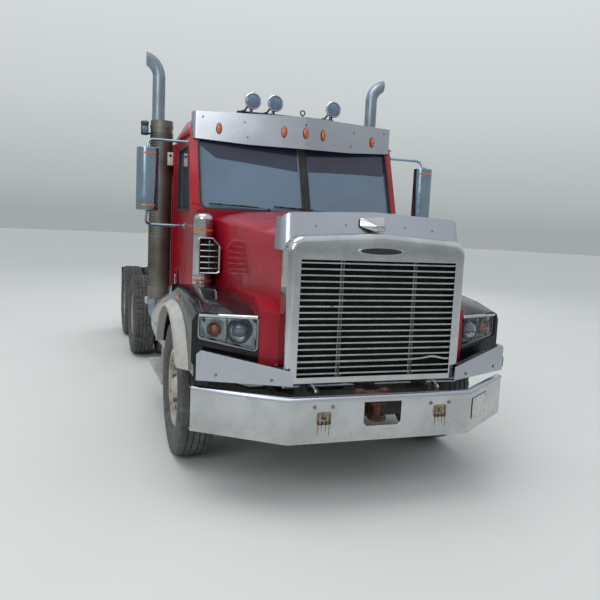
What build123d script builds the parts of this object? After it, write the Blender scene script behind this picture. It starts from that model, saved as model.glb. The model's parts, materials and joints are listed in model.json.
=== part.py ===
from build123d import *
import os
from math import atan2, degrees, hypot

# A conventional three-axle semi truck tractor with a day cab, in millimetres.
# It is drawn with Y = 0 at the bumper's face, Y rearwards, X to the truck's left and Z up
# from the ground, and is moved to its own middle when it is written.

# Whole truck
overall_length = 7750       # bumper's face to the tail lamps
lamp_bar_depth = 45         # tail lamp bar, part of the overall length
rear_overhang = 935         # last axle to the tail lamps
rear_axle_pitch = 1525
front_axle_at = 1330
side_gap = 0.3              # parts that seat on each other without a weld
cut_over = 5                # how far a cutting body runs past what it cuts

# Frame rails
frame_width = 864
frame_top = 1030
rail_height = 270
rail_flange = 90
rail_wall = 9
frame_start = 310
bracket_wall = 12
drop_bottom = 540
member_depth = 70           # crossmembers, as channels
lamp_bar_height = 100

# Bumper
bumper_flat = 660           # half-width of its flat middle
bumper_half = 1210
bumper_sweep = 410
bumper_top = 765
bumper_height = 290
bumper_wall = 6
bumper_flange = 60
bumper_bend = 90
tow_half = 135
tow_bottom = 573
tow_top = 734
tow_corner = 22
tow_pin_at = 92
tow_pin_radius = 24
tow_wall_at = 250           # crossmember behind the tow pin

# Wheels
tyre_radius = 535
tyre_width = 280
tread_half = 122
tyre_shoulder = 16
rim_radius = 292
rim_flange_radius = 306
rim_wall = 12
rim_half = 108
disc_wall = 14
front_track_half = 1077
dual_centre = 912
dual_spacing = 330
spindle_radius = 40
axle_spindle_radius = 50
bearing_gap = 0.08
hub_radius = 105
hand_holes = 10
hand_hole_radius = 25
hand_hole_circle = 243

# Steering
kingpin_at = 930
kingpin_radius = 22
eye_radius = 48
eye_height = 120
ear_height = 34
knuckle_gap = 0.5
steer_arm = 200
stud_inset = 50
stud_radius = 12
tie_rod_radius = 18
tie_rod_drop = 28
tie_rod_end = 22             # half height of its eyes, 6 mm clear of the arms

# Front axle and springs
axle_height = 500
axle_half_depth = 45
spring_half = 387
spring_width = 90
spring_reach = 780
spring_rise = 110
leaf = 16

# Engine, gearbox, propeller shafts and radiator
engine_front = 640
engine_rear = 1560
engine_half = 350
engine_foot = 700
engine_top = 1690
shaft_height = 800
gearbox_length = 900
shaft_joint_at = 3700
shaft_radius = 52
radiator_front = 395
radiator_half = 500
radiator_top = 1660
radiator_core = 90
radiator_shroud = 80

# Hood, hinged low at its front
hinge_at = 100
hinge_height = 790
hinge_pin = 12
hood_front = 300
hood_rear = 1645
hood_wall = 8
hood_skirt = 1090
flank_outer = 775
flank_top = 1362
flank_end = 1290
arch_radius = 645
fender_outer = 1200
fender_rear = 1480
fender_tail = 1940          # rear end of the part behind the wheel
fender_tail_inner = 1035
fender_foot = 850
tail_foot = 800
flare_reach = 68
panel_inner = 600           # chrome corner panels: inner end, outer end and their stations
panel_outer = 1185
panel_front = 112
panel_rear = 375
panel_wall = 4
panel_flange = 55
panel_top_inner = 922       # height of its upper edge, which rises outwards
panel_top_outer = 1031
panel_clip = 26             # its outer upper corner is cut off
valance_top = 925

# Lamps in the fenders
lamp_width = 412
lamp_foot = 1005
lamp_outer_foot = 1078
lamp_top = 1250
lamp_corner = 28
lamp_depth = 70
bezel = 18
bezel_depth = 12
turn_lamp = (300, 1150, 57)     # along the bezel, height, radius
main_lamp = (134, 1142, 86)
lamp_rise = 8

# Grille
surround_front = 150
surround_depth = 150
surround_half = 650
surround_bottom = 800
surround_top = 1835
surround_shoulder = 40
surround_corner = 105
surround_round = 40
grille_half = 567
grille_bottom = 873
grille_top = 1650
bar_count = 19
bar_height = 13
bar_depth = 20
bar_inset = 12
bar_support_at = 270
bar_support_width = 26
support_depth = 20

# Polished shield over the hood's front edge
shield_low = 1700
shield_high = 1975
shield_end_drop = 30
shield_foot = 240           # station of its face at its foot
shield_lean = 60
shield_half = 670
shield_reach = 190
shield_bend = 70
shield_corner = 90
shield_plate = 4

# Cab
cab_half = 985
cab_front = 1660
cab_rear = 3000
cab_floor = 1150
cab_belt = 1950
cab_roof = 2800
crown_rise = 160            # from the eaves up to the roof
crown_inset = 90
cab_wall = 60
screen_centre = 1700        # station of the windscreen's middle at the belt
screen_side = 1880
pillar_half = 925
screen_lean = 250
screen_edge = 48            # frame round the glass
screen_post = 28
screen_corner = 60
glass_wall = 6
glass_depth = 20
mount_radius = 45
door_front = 1716
door_rear = 2800
door_gap = 6
door_bottom = 1190
door_head = 40              # from the door's top up to the eaves
door_hinge_radius = 14
door_hinge_gap = 1
door_hinge_height = 80
window_edge = 80
back_window_half = 520
back_window_height = 450

# Sun visor
visor_half = 960
visor_front = 1840
visor_sweep = 260
visor_back = 2200
visor_corner = 40
visor_drop = 110            # its lowest edge below the eaves
visor_end_rise = 50
visor_wall = 4
visor_over = 12

# Stacks
stack_half = 1155
stack_at = 3030
pipe_radius = 63.5
stack_top = 3475
tip_rise = 230              # height of the curved tip
tip_bend = 170
tip_reach = 125
elbow_bend = 110
shield_radius = 110
heat_wall = 3
heat_inset = 35             # the heat shield stands inboard of the pipe
shield_bottom = 1048
shield_top = 2820
band_height = 20
can_half = 640              # silencers under the deck
can_height = 815
can_radius = 140
can_length = 560

# Tanks, steps and deck
cab_tank_half = 889         # round tanks under the doors
cab_tank_height = 825
cab_tank_radius = 311
cab_tank_front = 1980
tank_half = 590             # air tanks on the rails behind the deck
tank_radius = 130
tank_height = 840
tank_front = 3820
strap_shares = (0.16, 0.78)     # where a tank's straps are, along it
strap_width = 50
strap_wall = 6
tank_end_round = 30
step_outer = 1245
step_inner = 1070
step_front = 1920
step_rear = 2920
low_step = 420
high_step = 872
step_wall = 34
hanger_width = 36
high_step_front = 2025      # clear of the flare's rear end as the hood tilts
high_step_reach = 375
deck_half = 1245            # its wings, which hold the stacks
deck_wing_rear = 3150
deck_inner = 860
deck_front = 2960
deck_rear = 3760
deck_wall = 6
deck_lip = 50

# Fifth wheel
fifth_ahead = 765           # ahead of the last axle
fifth_top = 1260
fifth_plate = 38
fifth_half = 440
fifth_front_reach = 430
fifth_rear_reach = 520
kingpin_bore = 26
pivot_height = 1165
pivot_radius = 30
pivot_gap = 0.1
base_half = 400
base_reach = 420
base_wall = 26

# Mudflaps
flap_behind = 665           # behind the last axle
flap_outer = 1200
flap_inner = 620
flap_foot = 250
flap_wall = 10
flap_rail = 40

# Mirrors
mirror_half = 1345
mirror_width = 188
mirror_depth = 90
mirror_bow = 62             # how far its front stands out in the middle
mirror_height = 540
mirror_round = 8
mirror_tube = 12
mirror_tube_bend = 60

# Roof lamps
roof_lamp_radius = 78
roof_lamps_at = (-375, -158, 430)
roof_lamp_depth = 70
roof_bar_width = 40
roof_bar_height = 25

# Inside the cab
seat_half = 480
seat_width = 500
seat_cushion = 120
wheel_ring = 215
wheel_grip = 16

# Air cleaners on the cowl
cleaner_half = 940
cleaner_at = 1570
cleaner_radius = 80
cleaner_foot = 1200
cleaner_top = 1920

middle = overall_length / 2
rail_outer = frame_width / 2
rail_bottom = frame_top - rail_height
frame_end = overall_length - lamp_bar_depth
last_axle_at = overall_length - rear_overhang
first_axle_at = last_axle_at - rear_axle_pitch
fifth_at = last_axle_at - fifth_ahead
tank_rear = first_axle_at - tyre_radius - 65
bumper_bottom = bumper_top - bumper_height
can_front = stack_at - pipe_radius - 6.5
can_rear = can_front + can_length
cab_tank_rear = stack_at - pipe_radius - 31.5
low_ear = tyre_radius - eye_height / 2 - knuckle_gap - ear_height
cab_eaves = cab_roof - crown_rise
door_top = cab_eaves - door_head
visor_top = cab_roof + visor_over


def block(x0, x1, y0, y1, z0, z1):
    """A box between two corners."""
    return Pos((x0 + x1) / 2, (y0 + y1) / 2, (z0 + z1) / 2) * Box(x1 - x0, y1 - y0, z1 - z0)


def along_x(points, x0, x1):
    """A side view, as (y, z) points, drawn out from x0 to x1."""
    plane = Plane(origin=(x0, 0, 0), x_dir=(0, 1, 0), z_dir=(1, 0, 0))
    return extrude(plane * make_face(Polyline(*points, close=True)), x1 - x0)


def along_y(points, y0, y1):
    """A front view, as (x, z) points, drawn out from y0 to y1."""
    plane = Plane(origin=(0, y1, 0), x_dir=(1, 0, 0), z_dir=(0, -1, 0))
    return extrude(plane * make_face(Polyline(*points, close=True)), y1 - y0)


def along_z(points, z0, z1):
    """A plan, as (x, y) points, drawn out from z0 to z1."""
    return extrude(Plane.XY.offset(z0) * make_face(Polyline(*points, close=True)), z1 - z0)


def rod_x(y, z, radius, x0, x1):
    return Pos((x0 + x1) / 2, y, z) * Rot(0, 90, 0) * Cylinder(radius, abs(x1 - x0))


def rod_y(x, z, radius, y0, y1):
    return Pos(x, (y0 + y1) / 2, z) * Rot(90, 0, 0) * Cylinder(radius, y1 - y0)


def rod_z(x, y, radius, z0, z1):
    return Pos(x, y, (z0 + z1) / 2) * Cylinder(radius, z1 - z0)


def turned_x(profile, y, z):
    """A body turned about the X line through (y, z), from (x, radius) points."""
    plane = Plane(origin=(0, y, z), x_dir=(1, 0, 0), z_dir=(0, -1, 0))
    return revolve(plane * make_face(Polyline(*profile, close=True)), Axis((0, y, z), (1, 0, 0)))


def bent_tube(points, bend, radius):
    """A round tube along straight runs with one bend radius at each corner."""
    path = FilletPolyline(*points, radius=bend)
    start = Plane(origin=path @ 0, z_dir=path % 0)
    return sweep(start * Circle(radius), path=path)


def mirrored(shape):
    return mirror(shape, about=Plane.YZ)


def both(shape):
    """A piece on the truck's right (X below zero) and its twin on the left."""
    return [shape, mirrored(shape)]


nodes = {}


def keep(name, *shapes):
    """One node: its solids in the truck's own frame."""
    solids = []
    for shape in shapes:
        solids += list(shape.solids())
    nodes[name] = [Pos(0, -middle, 0) * solid for solid in solids]


def wheel_well(y_half):
    """The round space about the front axle, right across the truck."""
    return Pos(0, front_axle_at, tyre_radius) * Rot(0, 90, 0) * Cylinder(y_half, 4 * bumper_half)


# Frame
def make_frame():
    rail = block(-rail_outer, -rail_outer + rail_wall, frame_start, frame_end, rail_bottom, frame_top)
    for low in (rail_bottom, frame_top - rail_wall):
        rail += block(-rail_outer, -rail_outer + rail_flange, frame_start, frame_end, low, low + rail_wall)
    body = rail + mirrored(rail)
    inner = rail_outer - rail_wall
    # station, height of the channel's foot above the rail's foot, channel height
    crossmembers = [
        (frame_start + 4, 0, 110),
        (cab_rear + 120, 110, 150),
        (tank_rear - 40, 20, 220),
        (fifth_at - 50, 20, 220),
    ]
    for station, foot, height in crossmembers:
        low = rail_bottom + foot
        body += block(-inner, inner, station, station + rail_wall, low, low + height)
        for z in (low, low + height - rail_wall):
            body += block(-inner, inner, station, station + member_depth, z, z + rail_wall)
    # the rear crossmember closes the rails
    body += block(-inner, inner, frame_end - rail_wall, frame_end, rail_bottom, frame_top)
    # plates that drop from the rails to carry the bumper and the tow crossmember
    near, far = -rail_outer - bracket_wall, -rail_outer
    plate_view = [
        (bumper_wall, bumper_bottom + 60),
        (bumper_wall, bumper_top - 30),
        (frame_start - 10, bumper_top - 5),
        (frame_start + 20, frame_top - 40),
        (frame_start + 300, frame_top - 40),
        (frame_start + 300, rail_bottom + 10),
        (frame_start + 30, drop_bottom),
    ]
    plate = along_x(plate_view, near, far)
    lug_half = hinge_pin + 10
    plate += block(near, far, hinge_at - lug_half, hinge_at + lug_half, bumper_top - 60, hinge_height)
    plate += rod_x(hinge_at, hinge_height, lug_half, near, far)
    plate -= rod_x(hinge_at, hinge_height, hinge_pin + bearing_gap, near - cut_over, far + cut_over)
    body += plate + mirrored(plate)
    body += block(far, -far, tow_wall_at, tow_wall_at + bracket_wall, drop_bottom + 20, bumper_top - 15)
    # tail lamp bar
    low = rail_bottom + rail_flange
    body += block(-rail_outer, rail_outer, frame_end, overall_length, low, low + lamp_bar_height)
    keep("frame", body)


# Bumper
def bumper_plan(back):
    """The bumper's swept front in plan, moved back, closed far behind."""
    far = bumper_sweep + 600
    corners = [
        (-bumper_half, far + back),
        (-bumper_half, bumper_sweep + back),
        (-bumper_flat, back),
        (bumper_flat, back),
        (bumper_half, bumper_sweep + back),
        (bumper_half, far + back),
    ]
    return make_face(FilletPolyline(*corners, radius=[0, 0, bumper_bend, bumper_bend, 0, 0], close=True))


def make_bumper():
    outer = extrude(Plane.XY.offset(bumper_bottom) * bumper_plan(0), bumper_height)
    outer -= extrude(Plane.XY.offset(bumper_bottom) * bumper_plan(bumper_flange), bumper_height)
    hollow = Plane.XY.offset(bumper_bottom + bumper_wall) * bumper_plan(bumper_wall)
    outer -= extrude(hollow, bumper_height - 2 * bumper_wall)
    slot = [
        (-tow_half + tow_corner, tow_bottom),
        (tow_half - tow_corner, tow_bottom),
        (tow_half, tow_bottom + tow_corner),
        (tow_half, tow_top),
        (-tow_half, tow_top),
        (-tow_half, tow_bottom + tow_corner),
    ]
    outer -= along_y(slot, -cut_over, bumper_wall + cut_over)
    keep("bumper", outer)
    # tow pin in its clevis, behind the opening
    low, high, back = tow_bottom + 22, tow_top - 22, tow_wall_at - side_gap
    ear_half, ear_wall, ear_front = 55, 20, 60
    clevis = block(-ear_half, ear_half, ear_front, back, low, low + ear_wall)
    clevis += block(-ear_half, ear_half, ear_front, back, high - ear_wall, high)
    clevis += block(-ear_half - 15, ear_half + 15, back - 14, back, low - 15, high + 15)
    pin_head = 12
    clevis += rod_z(0, tow_pin_at, tow_pin_radius, low - pin_head, high + pin_head)
    keep("tow_pin", clevis)


# Engine, gearbox and propeller shafts, radiator
def make_engine():
    block_half = engine_half - 50
    body = block(-block_half, block_half, engine_front, engine_rear, engine_foot, frame_top + 150)
    body += block(-engine_half, engine_half, engine_front + 60, engine_rear - 40, frame_top + 150, engine_top)
    body = chamfer(body.edges().filter_by(Axis.Y).group_by(Axis.Z)[-1], 60)
    # engine mounts reach the rails' flanges
    seat, reach = frame_top + side_gap, rail_outer - 32
    for side in (-1, 1):
        for station, length in ((engine_front + 260, 160), (engine_rear - 160, 120)):
            x0, x1 = sorted((side * (block_half - 100), side * reach))
            body += block(x0, x1, station, station + length, seat, seat + 30)
    keep("engine", body)
    y = engine_rear
    gearbox = rod_y(0, shaft_height + 40, 235, y, y + 190)
    gearbox += block(-180, 180, y + 190, y + gearbox_length, shaft_height - 160, shaft_height + 200)
    gearbox += block(-330, 330, y + 740, y + 820, shaft_height - 20, shaft_height + 20)
    joint = shaft_joint_at
    y += gearbox_length
    gearbox += rod_y(0, shaft_height, shaft_radius, y, joint)
    gearbox += rod_y(0, shaft_height, shaft_radius + 28, y, y + 100)
    gearbox += rod_y(0, shaft_height, shaft_radius + 38, joint - 100, joint)
    # the last run slopes down to the first drive axle
    end_y, end_z = first_axle_at - 340, tyre_radius + 105
    run = hypot(end_y - joint, shaft_height - end_z)
    fall = degrees(atan2(shaft_height - end_z, end_y - joint))
    lower = Pos(0, (joint + end_y) / 2, (shaft_height + end_z) / 2) * Rot(90 - fall, 0, 0)
    gearbox += lower * Cylinder(shaft_radius, run)
    keep("driveline", gearbox)
    y0, y1 = radiator_front, radiator_front + radiator_core
    low = frame_top + 15
    core = block(-radiator_half, radiator_half, y0, y1, low, radiator_top)
    core += block(-radiator_half + 170, radiator_half - 170, y0, y1, rail_bottom + 40, low)
    shroud = radiator_half - 60
    core += block(-shroud, shroud, y1, y1 + radiator_shroud, frame_top + 60, radiator_top - 60)
    for x in (-radiator_half + 120, radiator_half - 120):
        core += block(x - 20, x + 20, y0 + 10, y1, frame_top + side_gap, low)
    keep("radiator", core)


# Front axle, springs and steering
def make_front_axle():
    y = front_axle_at
    half_view = [
        (-kingpin_at, tyre_radius - 45),
        (-kingpin_at, tyre_radius + 45),
        (-kingpin_at + 170, tyre_radius + 30),
        (-spring_half - 173, axle_height),
        (-spring_half + 87, axle_height),
        (-spring_half + 147, axle_height - 30),
    ]
    foot_view = [(-spring_half - 173, axle_height - 110), (-kingpin_at + 230, tyre_radius - 60)]
    top = half_view + [(-x, z) for x, z in reversed(half_view)]
    foot = [(-x, z) for x, z in reversed(foot_view)] + foot_view
    beam = along_y(top + foot, y - axle_half_depth, y + axle_half_depth)
    for side in (-1, 1):
        x = side * kingpin_at
        z0, z1 = tyre_radius - eye_height / 2, tyre_radius + eye_height / 2
        beam += rod_z(x, y, eye_radius, z0, z1)
        beam -= rod_z(x, y, kingpin_radius + bearing_gap, z0 - cut_over, z1 + cut_over)
    keep("front_axle", beam)
    pad = axle_height + side_gap
    near, far = -spring_half - spring_width / 2, -spring_half + spring_width / 2
    front_end, rear_end = y - spring_reach, y + spring_reach
    eye_z = pad + spring_rise + leaf
    view = [
        (y - 260, pad),
        (y + 260, pad),
        (rear_end, pad + spring_rise),
        (rear_end, eye_z + leaf),
        (y + 330, pad + 3 * leaf + 8),
        (y - 330, pad + 3 * leaf + 8),
        (front_end, eye_z + leaf),
        (front_end, pad + spring_rise),
    ]
    spring = along_x(view, near, far)
    for station in (front_end, rear_end):
        spring += rod_x(station, eye_z, 30, near, far)
        spring += block(near, far, station - 25, station + 25, eye_z, rail_bottom - side_gap)
    # clamp plates over the axle
    spring += block(near, far, y - 90, y + 90, pad + 40, pad + 75)
    keep("front_springs", *both(spring))


def make_knuckle(side):
    """A steered stub axle with its yoke about the kingpin; side is -1 on the truck's right."""
    y, x = front_axle_at, kingpin_at
    z0, z1 = tyre_radius - eye_height / 2, tyre_radius + eye_height / 2
    yoke = x + eye_radius + 10
    face = yoke + 27
    body = rod_z(x, y, kingpin_radius, z0 - ear_height, z1 + ear_height)
    for low in (low_ear, z1 + knuckle_gap):
        body += rod_z(x, y, eye_radius, low, low + ear_height)
        body += block(x, face, y - eye_radius, y + eye_radius, low, low + ear_height)
    body += block(yoke, face, y - 75, y + 75, low_ear, z1 + knuckle_gap + ear_height)
    body += rod_x(y, tyre_radius, spindle_radius, face, front_track_half + 90)
    # the steering arm runs back from the lower ear to the tie rod's stud
    stud_x, stud_y, arm_wall = x - stud_inset, y + steer_arm, 26
    plan = [(x - 30, y + 20), (x + 40, y + 20), (stud_x + 25, stud_y), (stud_x - 25, stud_y)]
    body += along_z(plan, low_ear, low_ear + arm_wall)
    body += rod_z(stud_x, stud_y, stud_radius + 20, low_ear, low_ear + arm_wall)
    if side < 0:
        stud_foot = low_ear - tie_rod_drop - tie_rod_end - 1
        body += rod_z(stud_x, stud_y, stud_radius, stud_foot, low_ear + cut_over)
        body = mirrored(body)
    keep("knuckle_right" if side < 0 else "knuckle_left", body)


def make_tie_rod():
    y, x, z = front_axle_at + steer_arm, kingpin_at - stud_inset, low_ear - tie_rod_drop
    rod = rod_x(y, z, tie_rod_radius, -x + 20, x - 20)
    for side in (-1, 1):
        rod += rod_z(side * x, y, tie_rod_radius + stud_radius, z - tie_rod_end, z + tie_rod_end)
    # it turns on the right arm's stud, and runs free under the left arm
    reach = tie_rod_end + cut_over
    rod -= rod_z(-x, y, stud_radius + side_gap, z - reach, z + reach)
    keep("tie_rod", rod)


# Wheels
def tyre_solid(x):
    """A tyre whose middle plane is at x, about the line Y = 0, Z = tyre_radius."""
    half = tyre_width / 2
    shoulder = tyre_radius - tyre_shoulder
    bulge = (rim_flange_radius + tyre_radius) / 2 + 10
    # across the tyre from its middle plane, radius: from the bead to the tread's middle
    half_view = [
        (rim_half - rim_wall, rim_radius + side_gap),
        (rim_half - rim_wall, rim_flange_radius + 10),
        (half - 12, rim_flange_radius + 60),
        (half, bulge),
        (half - 6, shoulder - 30),
        (tread_half, shoulder),
        (tread_half - 30, tyre_radius),
    ]
    view = [(-across, r) for across, r in half_view] + half_view[::-1]
    return turned_x([(x + across, r) for across, r in view], 0, tyre_radius)


def rim_barrel(x):
    """The rim's rolled barrel with its two flanges, about the line Y = 0."""
    inner = rim_radius - rim_wall
    half_view = [
        (rim_half, inner),
        (rim_half, rim_flange_radius),
        (rim_half - rim_wall, rim_flange_radius),
        (rim_half - rim_wall, rim_radius),
    ]
    view = [(-across, r) for across, r in half_view] + half_view[::-1]
    return turned_x([(x + across, r) for across, r in view], 0, tyre_radius)


def pierced(wheel, x0, x1):
    """A wheel with its ring of hand holes cut through between x0 and x1."""
    for number in range(hand_holes):
        hole = rod_x(hand_hole_circle, tyre_radius, hand_hole_radius, x0, x1)
        turn = Axis((0, 0, tyre_radius), (1, 0, 0))
        wheel -= hole.rotate(turn, 360 * (number + 0.5) / hand_holes)
    return wheel


def front_wheel_solids():
    """Left front tyre and wheel, about Y = 0."""
    x = front_track_half
    inner = rim_radius - rim_wall
    bore = spindle_radius + bearing_gap
    face, cap = 62, 122         # wheel's mounting face and hub cap, outboard of the middle plane
    # across, radius
    view = [
        (face - 3 * disc_wall, inner + cut_over),
        (face - 2 * disc_wall, inner + cut_over),
        (face, hub_radius + 85),
        (face, hub_radius),
        (cap - 10, hub_radius - 35),
        (cap, hub_radius - 45),
        (cap, 0),
        (cap - 22, 0),
        (cap - 22, bore),
        (-45, bore),
        (-45, hub_radius),
        (-20, hub_radius),
        (face - disc_wall, hub_radius + 85),
    ]
    rim = rim_barrel(x) + turned_x([(x + across, r) for across, r in view], 0, tyre_radius)
    return tyre_solid(x), pierced(rim, x, x + cap)


def rear_wheel_solids():
    """Left twin tyres and their joined wheels, about Y = 0."""
    inner_x, outer_x = dual_centre - dual_spacing / 2, dual_centre + dual_spacing / 2
    inner = rim_radius - rim_wall
    bore = axle_spindle_radius + bearing_gap
    drum = hub_radius + 20
    lip = dual_spacing / 2 - 70     # where each wheel's disc meets its barrel
    # across, radius
    view = [
        (-lip, inner + cut_over),
        (-disc_wall, hub_radius + 95),
        (-disc_wall, drum),
        (-150, drum),
        (-150, bore),
        (205, bore),
        (205, 0),
        (235, 0),
        (235, hub_radius - 25),
        (215, hub_radius),
        (disc_wall, drum),
        (disc_wall, hub_radius + 95),
        (lip, inner + cut_over),
        (lip - disc_wall, inner + cut_over),
        (0, hub_radius + 110),
        (disc_wall - lip, inner + cut_over),
    ]
    disc = turned_x([(dual_centre + across, r) for across, r in view], 0, tyre_radius)
    rim = rim_barrel(inner_x) + rim_barrel(outer_x) + disc
    return [tyre_solid(inner_x), tyre_solid(outer_x)], pierced(rim, dual_centre - lip, dual_centre + lip)


def make_wheels():
    tyre, rim = front_wheel_solids()
    for side, word in ((-1, "right"), (1, "left")):
        for name, solid in (("front_tyre_", tyre), ("front_rim_", rim)):
            placed = Pos(0, front_axle_at, 0) * solid
            keep(name + word, mirrored(placed) if side < 0 else placed)
    tyres, rims = rear_wheel_solids()
    for number, station in enumerate((first_axle_at, last_axle_at), 1):
        for side, word in ((-1, "right"), (1, "left")):
            placed = [Pos(0, station, 0) * solid for solid in tyres]
            wheel = Pos(0, station, 0) * rims
            if side < 0:
                placed = [mirrored(solid) for solid in placed]
                wheel = mirrored(wheel)
            keep(f"drive_tyres_{number}_{word}", *placed)
            keep(f"drive_rims_{number}_{word}", wheel)


# Drive axles and their suspension
axle_tube = 78
axle_drum = 230
beam_half = 480
beam_wall = 45


def make_rear_axles():
    tube_end, spindle_end = dual_centre - 317, dual_centre + 190
    # distance from the middle, radius
    half_view = [
        (spindle_end, 0),
        (spindle_end, axle_spindle_radius),
        (tube_end, axle_spindle_radius),
        (tube_end, axle_tube),
        (330, axle_tube),
        (190, axle_drum - 40),
        (60, axle_drum),
    ]
    view = [(-across, r) for across, r in half_view] + half_view[::-1]
    nose = axle_drum + 100
    solids = []
    for station, height in ((first_axle_at, tyre_radius + 105), (last_axle_at, tyre_radius)):
        tube = turned_x(view, station, tyre_radius)
        tube += rod_y(0, height, axle_drum - 135, station - nose, station)
        solids.append(tube)
    solids[0] += rod_y(0, tyre_radius, 48, first_axle_at + 200, last_axle_at - nose - side_gap)
    keep("rear_axles", *solids)
    # walking beam, saddle and rubber pack under each rail
    mid = (first_axle_at + last_axle_at) / 2
    z = tyre_radius
    near, far = -beam_half - beam_wall, -beam_half + beam_wall
    view = [
        (first_axle_at - 60, z - 190),
        (first_axle_at - 60, z - 90),
        (mid - 150, z - 50),
        (mid + 150, z - 50),
        (last_axle_at + 60, z - 90),
        (last_axle_at + 60, z - 190),
        (mid, z - 230),
    ]
    beam = along_x(view, near, far)
    for station in (first_axle_at, last_axle_at):
        beam += block(near, far, station - 40, station + 40, z - 100, z - axle_tube - side_gap)
    saddle = rail_bottom - 60
    beam += block(near, far, mid - 110, mid + 110, z - 50, saddle)
    beam += block(near, -rail_outer + 100, mid - 240, mid + 240, saddle, rail_bottom - side_gap)
    keep("rear_suspension", *both(beam))


# Tanks, steps and deck
def round_tank(half, height, radius, front, rear):
    """A round tank with two straps and its brackets to the frame rail."""
    tank = rod_y(-half, height, radius, front, rear)
    tank = chamfer(tank.edges().filter_by(GeomType.CIRCLE), tank_end_round)
    for share in strap_shares:
        station = front + share * (rear - front)
        tank += rod_y(-half, height, radius + strap_wall, station, station + strap_width)
        low, high = rail_bottom + 10, min(frame_top - 40, height + radius - 20)
        tank += block(-half, -rail_outer - side_gap, station, station + strap_width, low, high)
    return tank


def make_tanks():
    under_cab = (cab_tank_half, cab_tank_height, cab_tank_radius, cab_tank_front, cab_tank_rear)
    keep("cab_tanks", *both(round_tank(*under_cab)))
    keep("air_tanks", *both(round_tank(tank_half, tank_height, tank_radius, tank_front, tank_rear)))


def make_steps():
    """A high plank against the round tank under the door, and a low one hung from its straps."""
    low_face, high_face = low_step - step_wall / 2, low_step + step_wall / 2
    step = block(-step_outer + 30, -step_inner, step_front, step_rear, low_face, high_face)
    for share in strap_shares:
        station = cab_tank_front + share * (cab_tank_rear - cab_tank_front)
        hanger = block(-step_inner - hanger_width, -step_inner, station, station + strap_width,
                       low_step, cab_tank_height)
        step += hanger
    low_face, high_face = high_step - step_wall / 2, high_step + step_wall / 2
    high_end = high_step_front + high_step_reach
    high_plank = block(-step_outer, -step_inner, high_step_front, high_end, low_face, high_face)
    reach = cab_tank_radius + strap_wall + side_gap
    clear = rod_y(-cab_tank_half, cab_tank_height, reach, cab_tank_front - 40, cab_tank_rear + 40)
    planks = []
    for plank in (step - clear, high_plank - clear):
        # what is left inboard of the tank falls away
        planks.append(min(plank.solids(), key=lambda s: s.bounding_box().min.X))
    keep("side_steps", *both(planks[0]), *both(planks[1]))


def make_deck():
    """Chequer deck behind the cab, with holes for the stacks."""
    low, high = frame_top, frame_top + deck_wall
    inner = deck_half - deck_wall
    deck = block(-deck_half, deck_half, deck_front, deck_wing_rear, low, high)
    deck += block(-deck_inner, deck_inner, deck_wing_rear - 1, deck_rear, low, high)
    deck += block(-deck_half, deck_half, deck_front, deck_front + deck_wall, low - deck_lip, low)
    for x0, x1 in ((-deck_half, -inner), (inner, deck_half)):
        deck += block(x0, x1, deck_front, deck_wing_rear, low - deck_lip, low)
    clear = rail_outer + 20
    deck -= block(-clear, clear, deck_front - cut_over, deck_front + 20, low - deck_lip - cut_over, low)
    for side in (-1, 1):
        deck -= rod_z(side * stack_half, stack_at, pipe_radius + 8, low - deck_lip, high + cut_over)
    keep("deck_plate", deck)


# Exhaust
def make_exhaust():
    x, y = -stack_half, stack_at
    z = stack_top - tip_rise
    # the tip turns 70 degrees outwards: tangent of half of that, then its sine and cosine
    knee, run = z + 0.7 * tip_bend, tip_rise
    points = [(x, y, frame_top - 30), (x, y, knee), (x - 0.94 * run, y, knee + 0.342 * run)]
    pipe = bent_tube(points, tip_bend, pipe_radius)
    # the tip is cut upright
    pipe -= block(x - 600, x - tip_reach, y - 100, y + 100, z, stack_top + 200)
    z = can_height
    elbow = bent_tube([(x, y, frame_top - 29), (x, y, z), (-can_half, y, z)], elbow_bend, pipe_radius)
    can = rod_y(-can_half, z, can_radius, can_front, can_rear)
    can += block(-can_half, -rail_outer - side_gap, can_front + 160, can_front + 200, z - 40, z + 40)
    pipe += elbow + can
    keep("exhaust_pipes", *both(pipe))
    sx = x + heat_inset
    shield = rod_z(sx, y, shield_radius, shield_bottom, shield_top)
    shield -= rod_z(sx, y, shield_radius - heat_wall, shield_bottom - cut_over, shield_top + cut_over)
    for z in (shield_bottom + 120, shield_top - 160):
        ring = rod_z(sx, y, shield_radius - 1, z, z + band_height)
        shield += ring - rod_z(x, y, pipe_radius + side_gap, z - cut_over, z + band_height + cut_over)
    # bracket to the cab's rear wall
    low, high = shield_top - 520, shield_top - 420
    shield += block(sx + shield_radius - 10, -cab_half + 120, y + 20, y + 32, low, high)
    shield += block(-cab_half + 40, -cab_half + 120, cab_rear + side_gap, y + 32, low, high)
    keep("heat_shields", *both(shield))


# Cab
def cab_plan(y_shift, inset, half, rear):
    """Seven corners of the upper cab: the split screen, its pillars and the square back."""
    side = half - inset
    pillar = pillar_half - inset * 0.5
    return [
        (0, screen_centre + y_shift + inset),
        (pillar, screen_side + y_shift + inset),
        (side, screen_side + y_shift + inset + 30),
        (side, rear - inset),
        (-side, rear - inset),
        (-side, screen_side + y_shift + inset + 30),
        (-pillar, screen_side + y_shift + inset),
    ]


def level(points, z):
    return Plane.XY.offset(z) * make_face(Polyline(*points, close=True))


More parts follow.
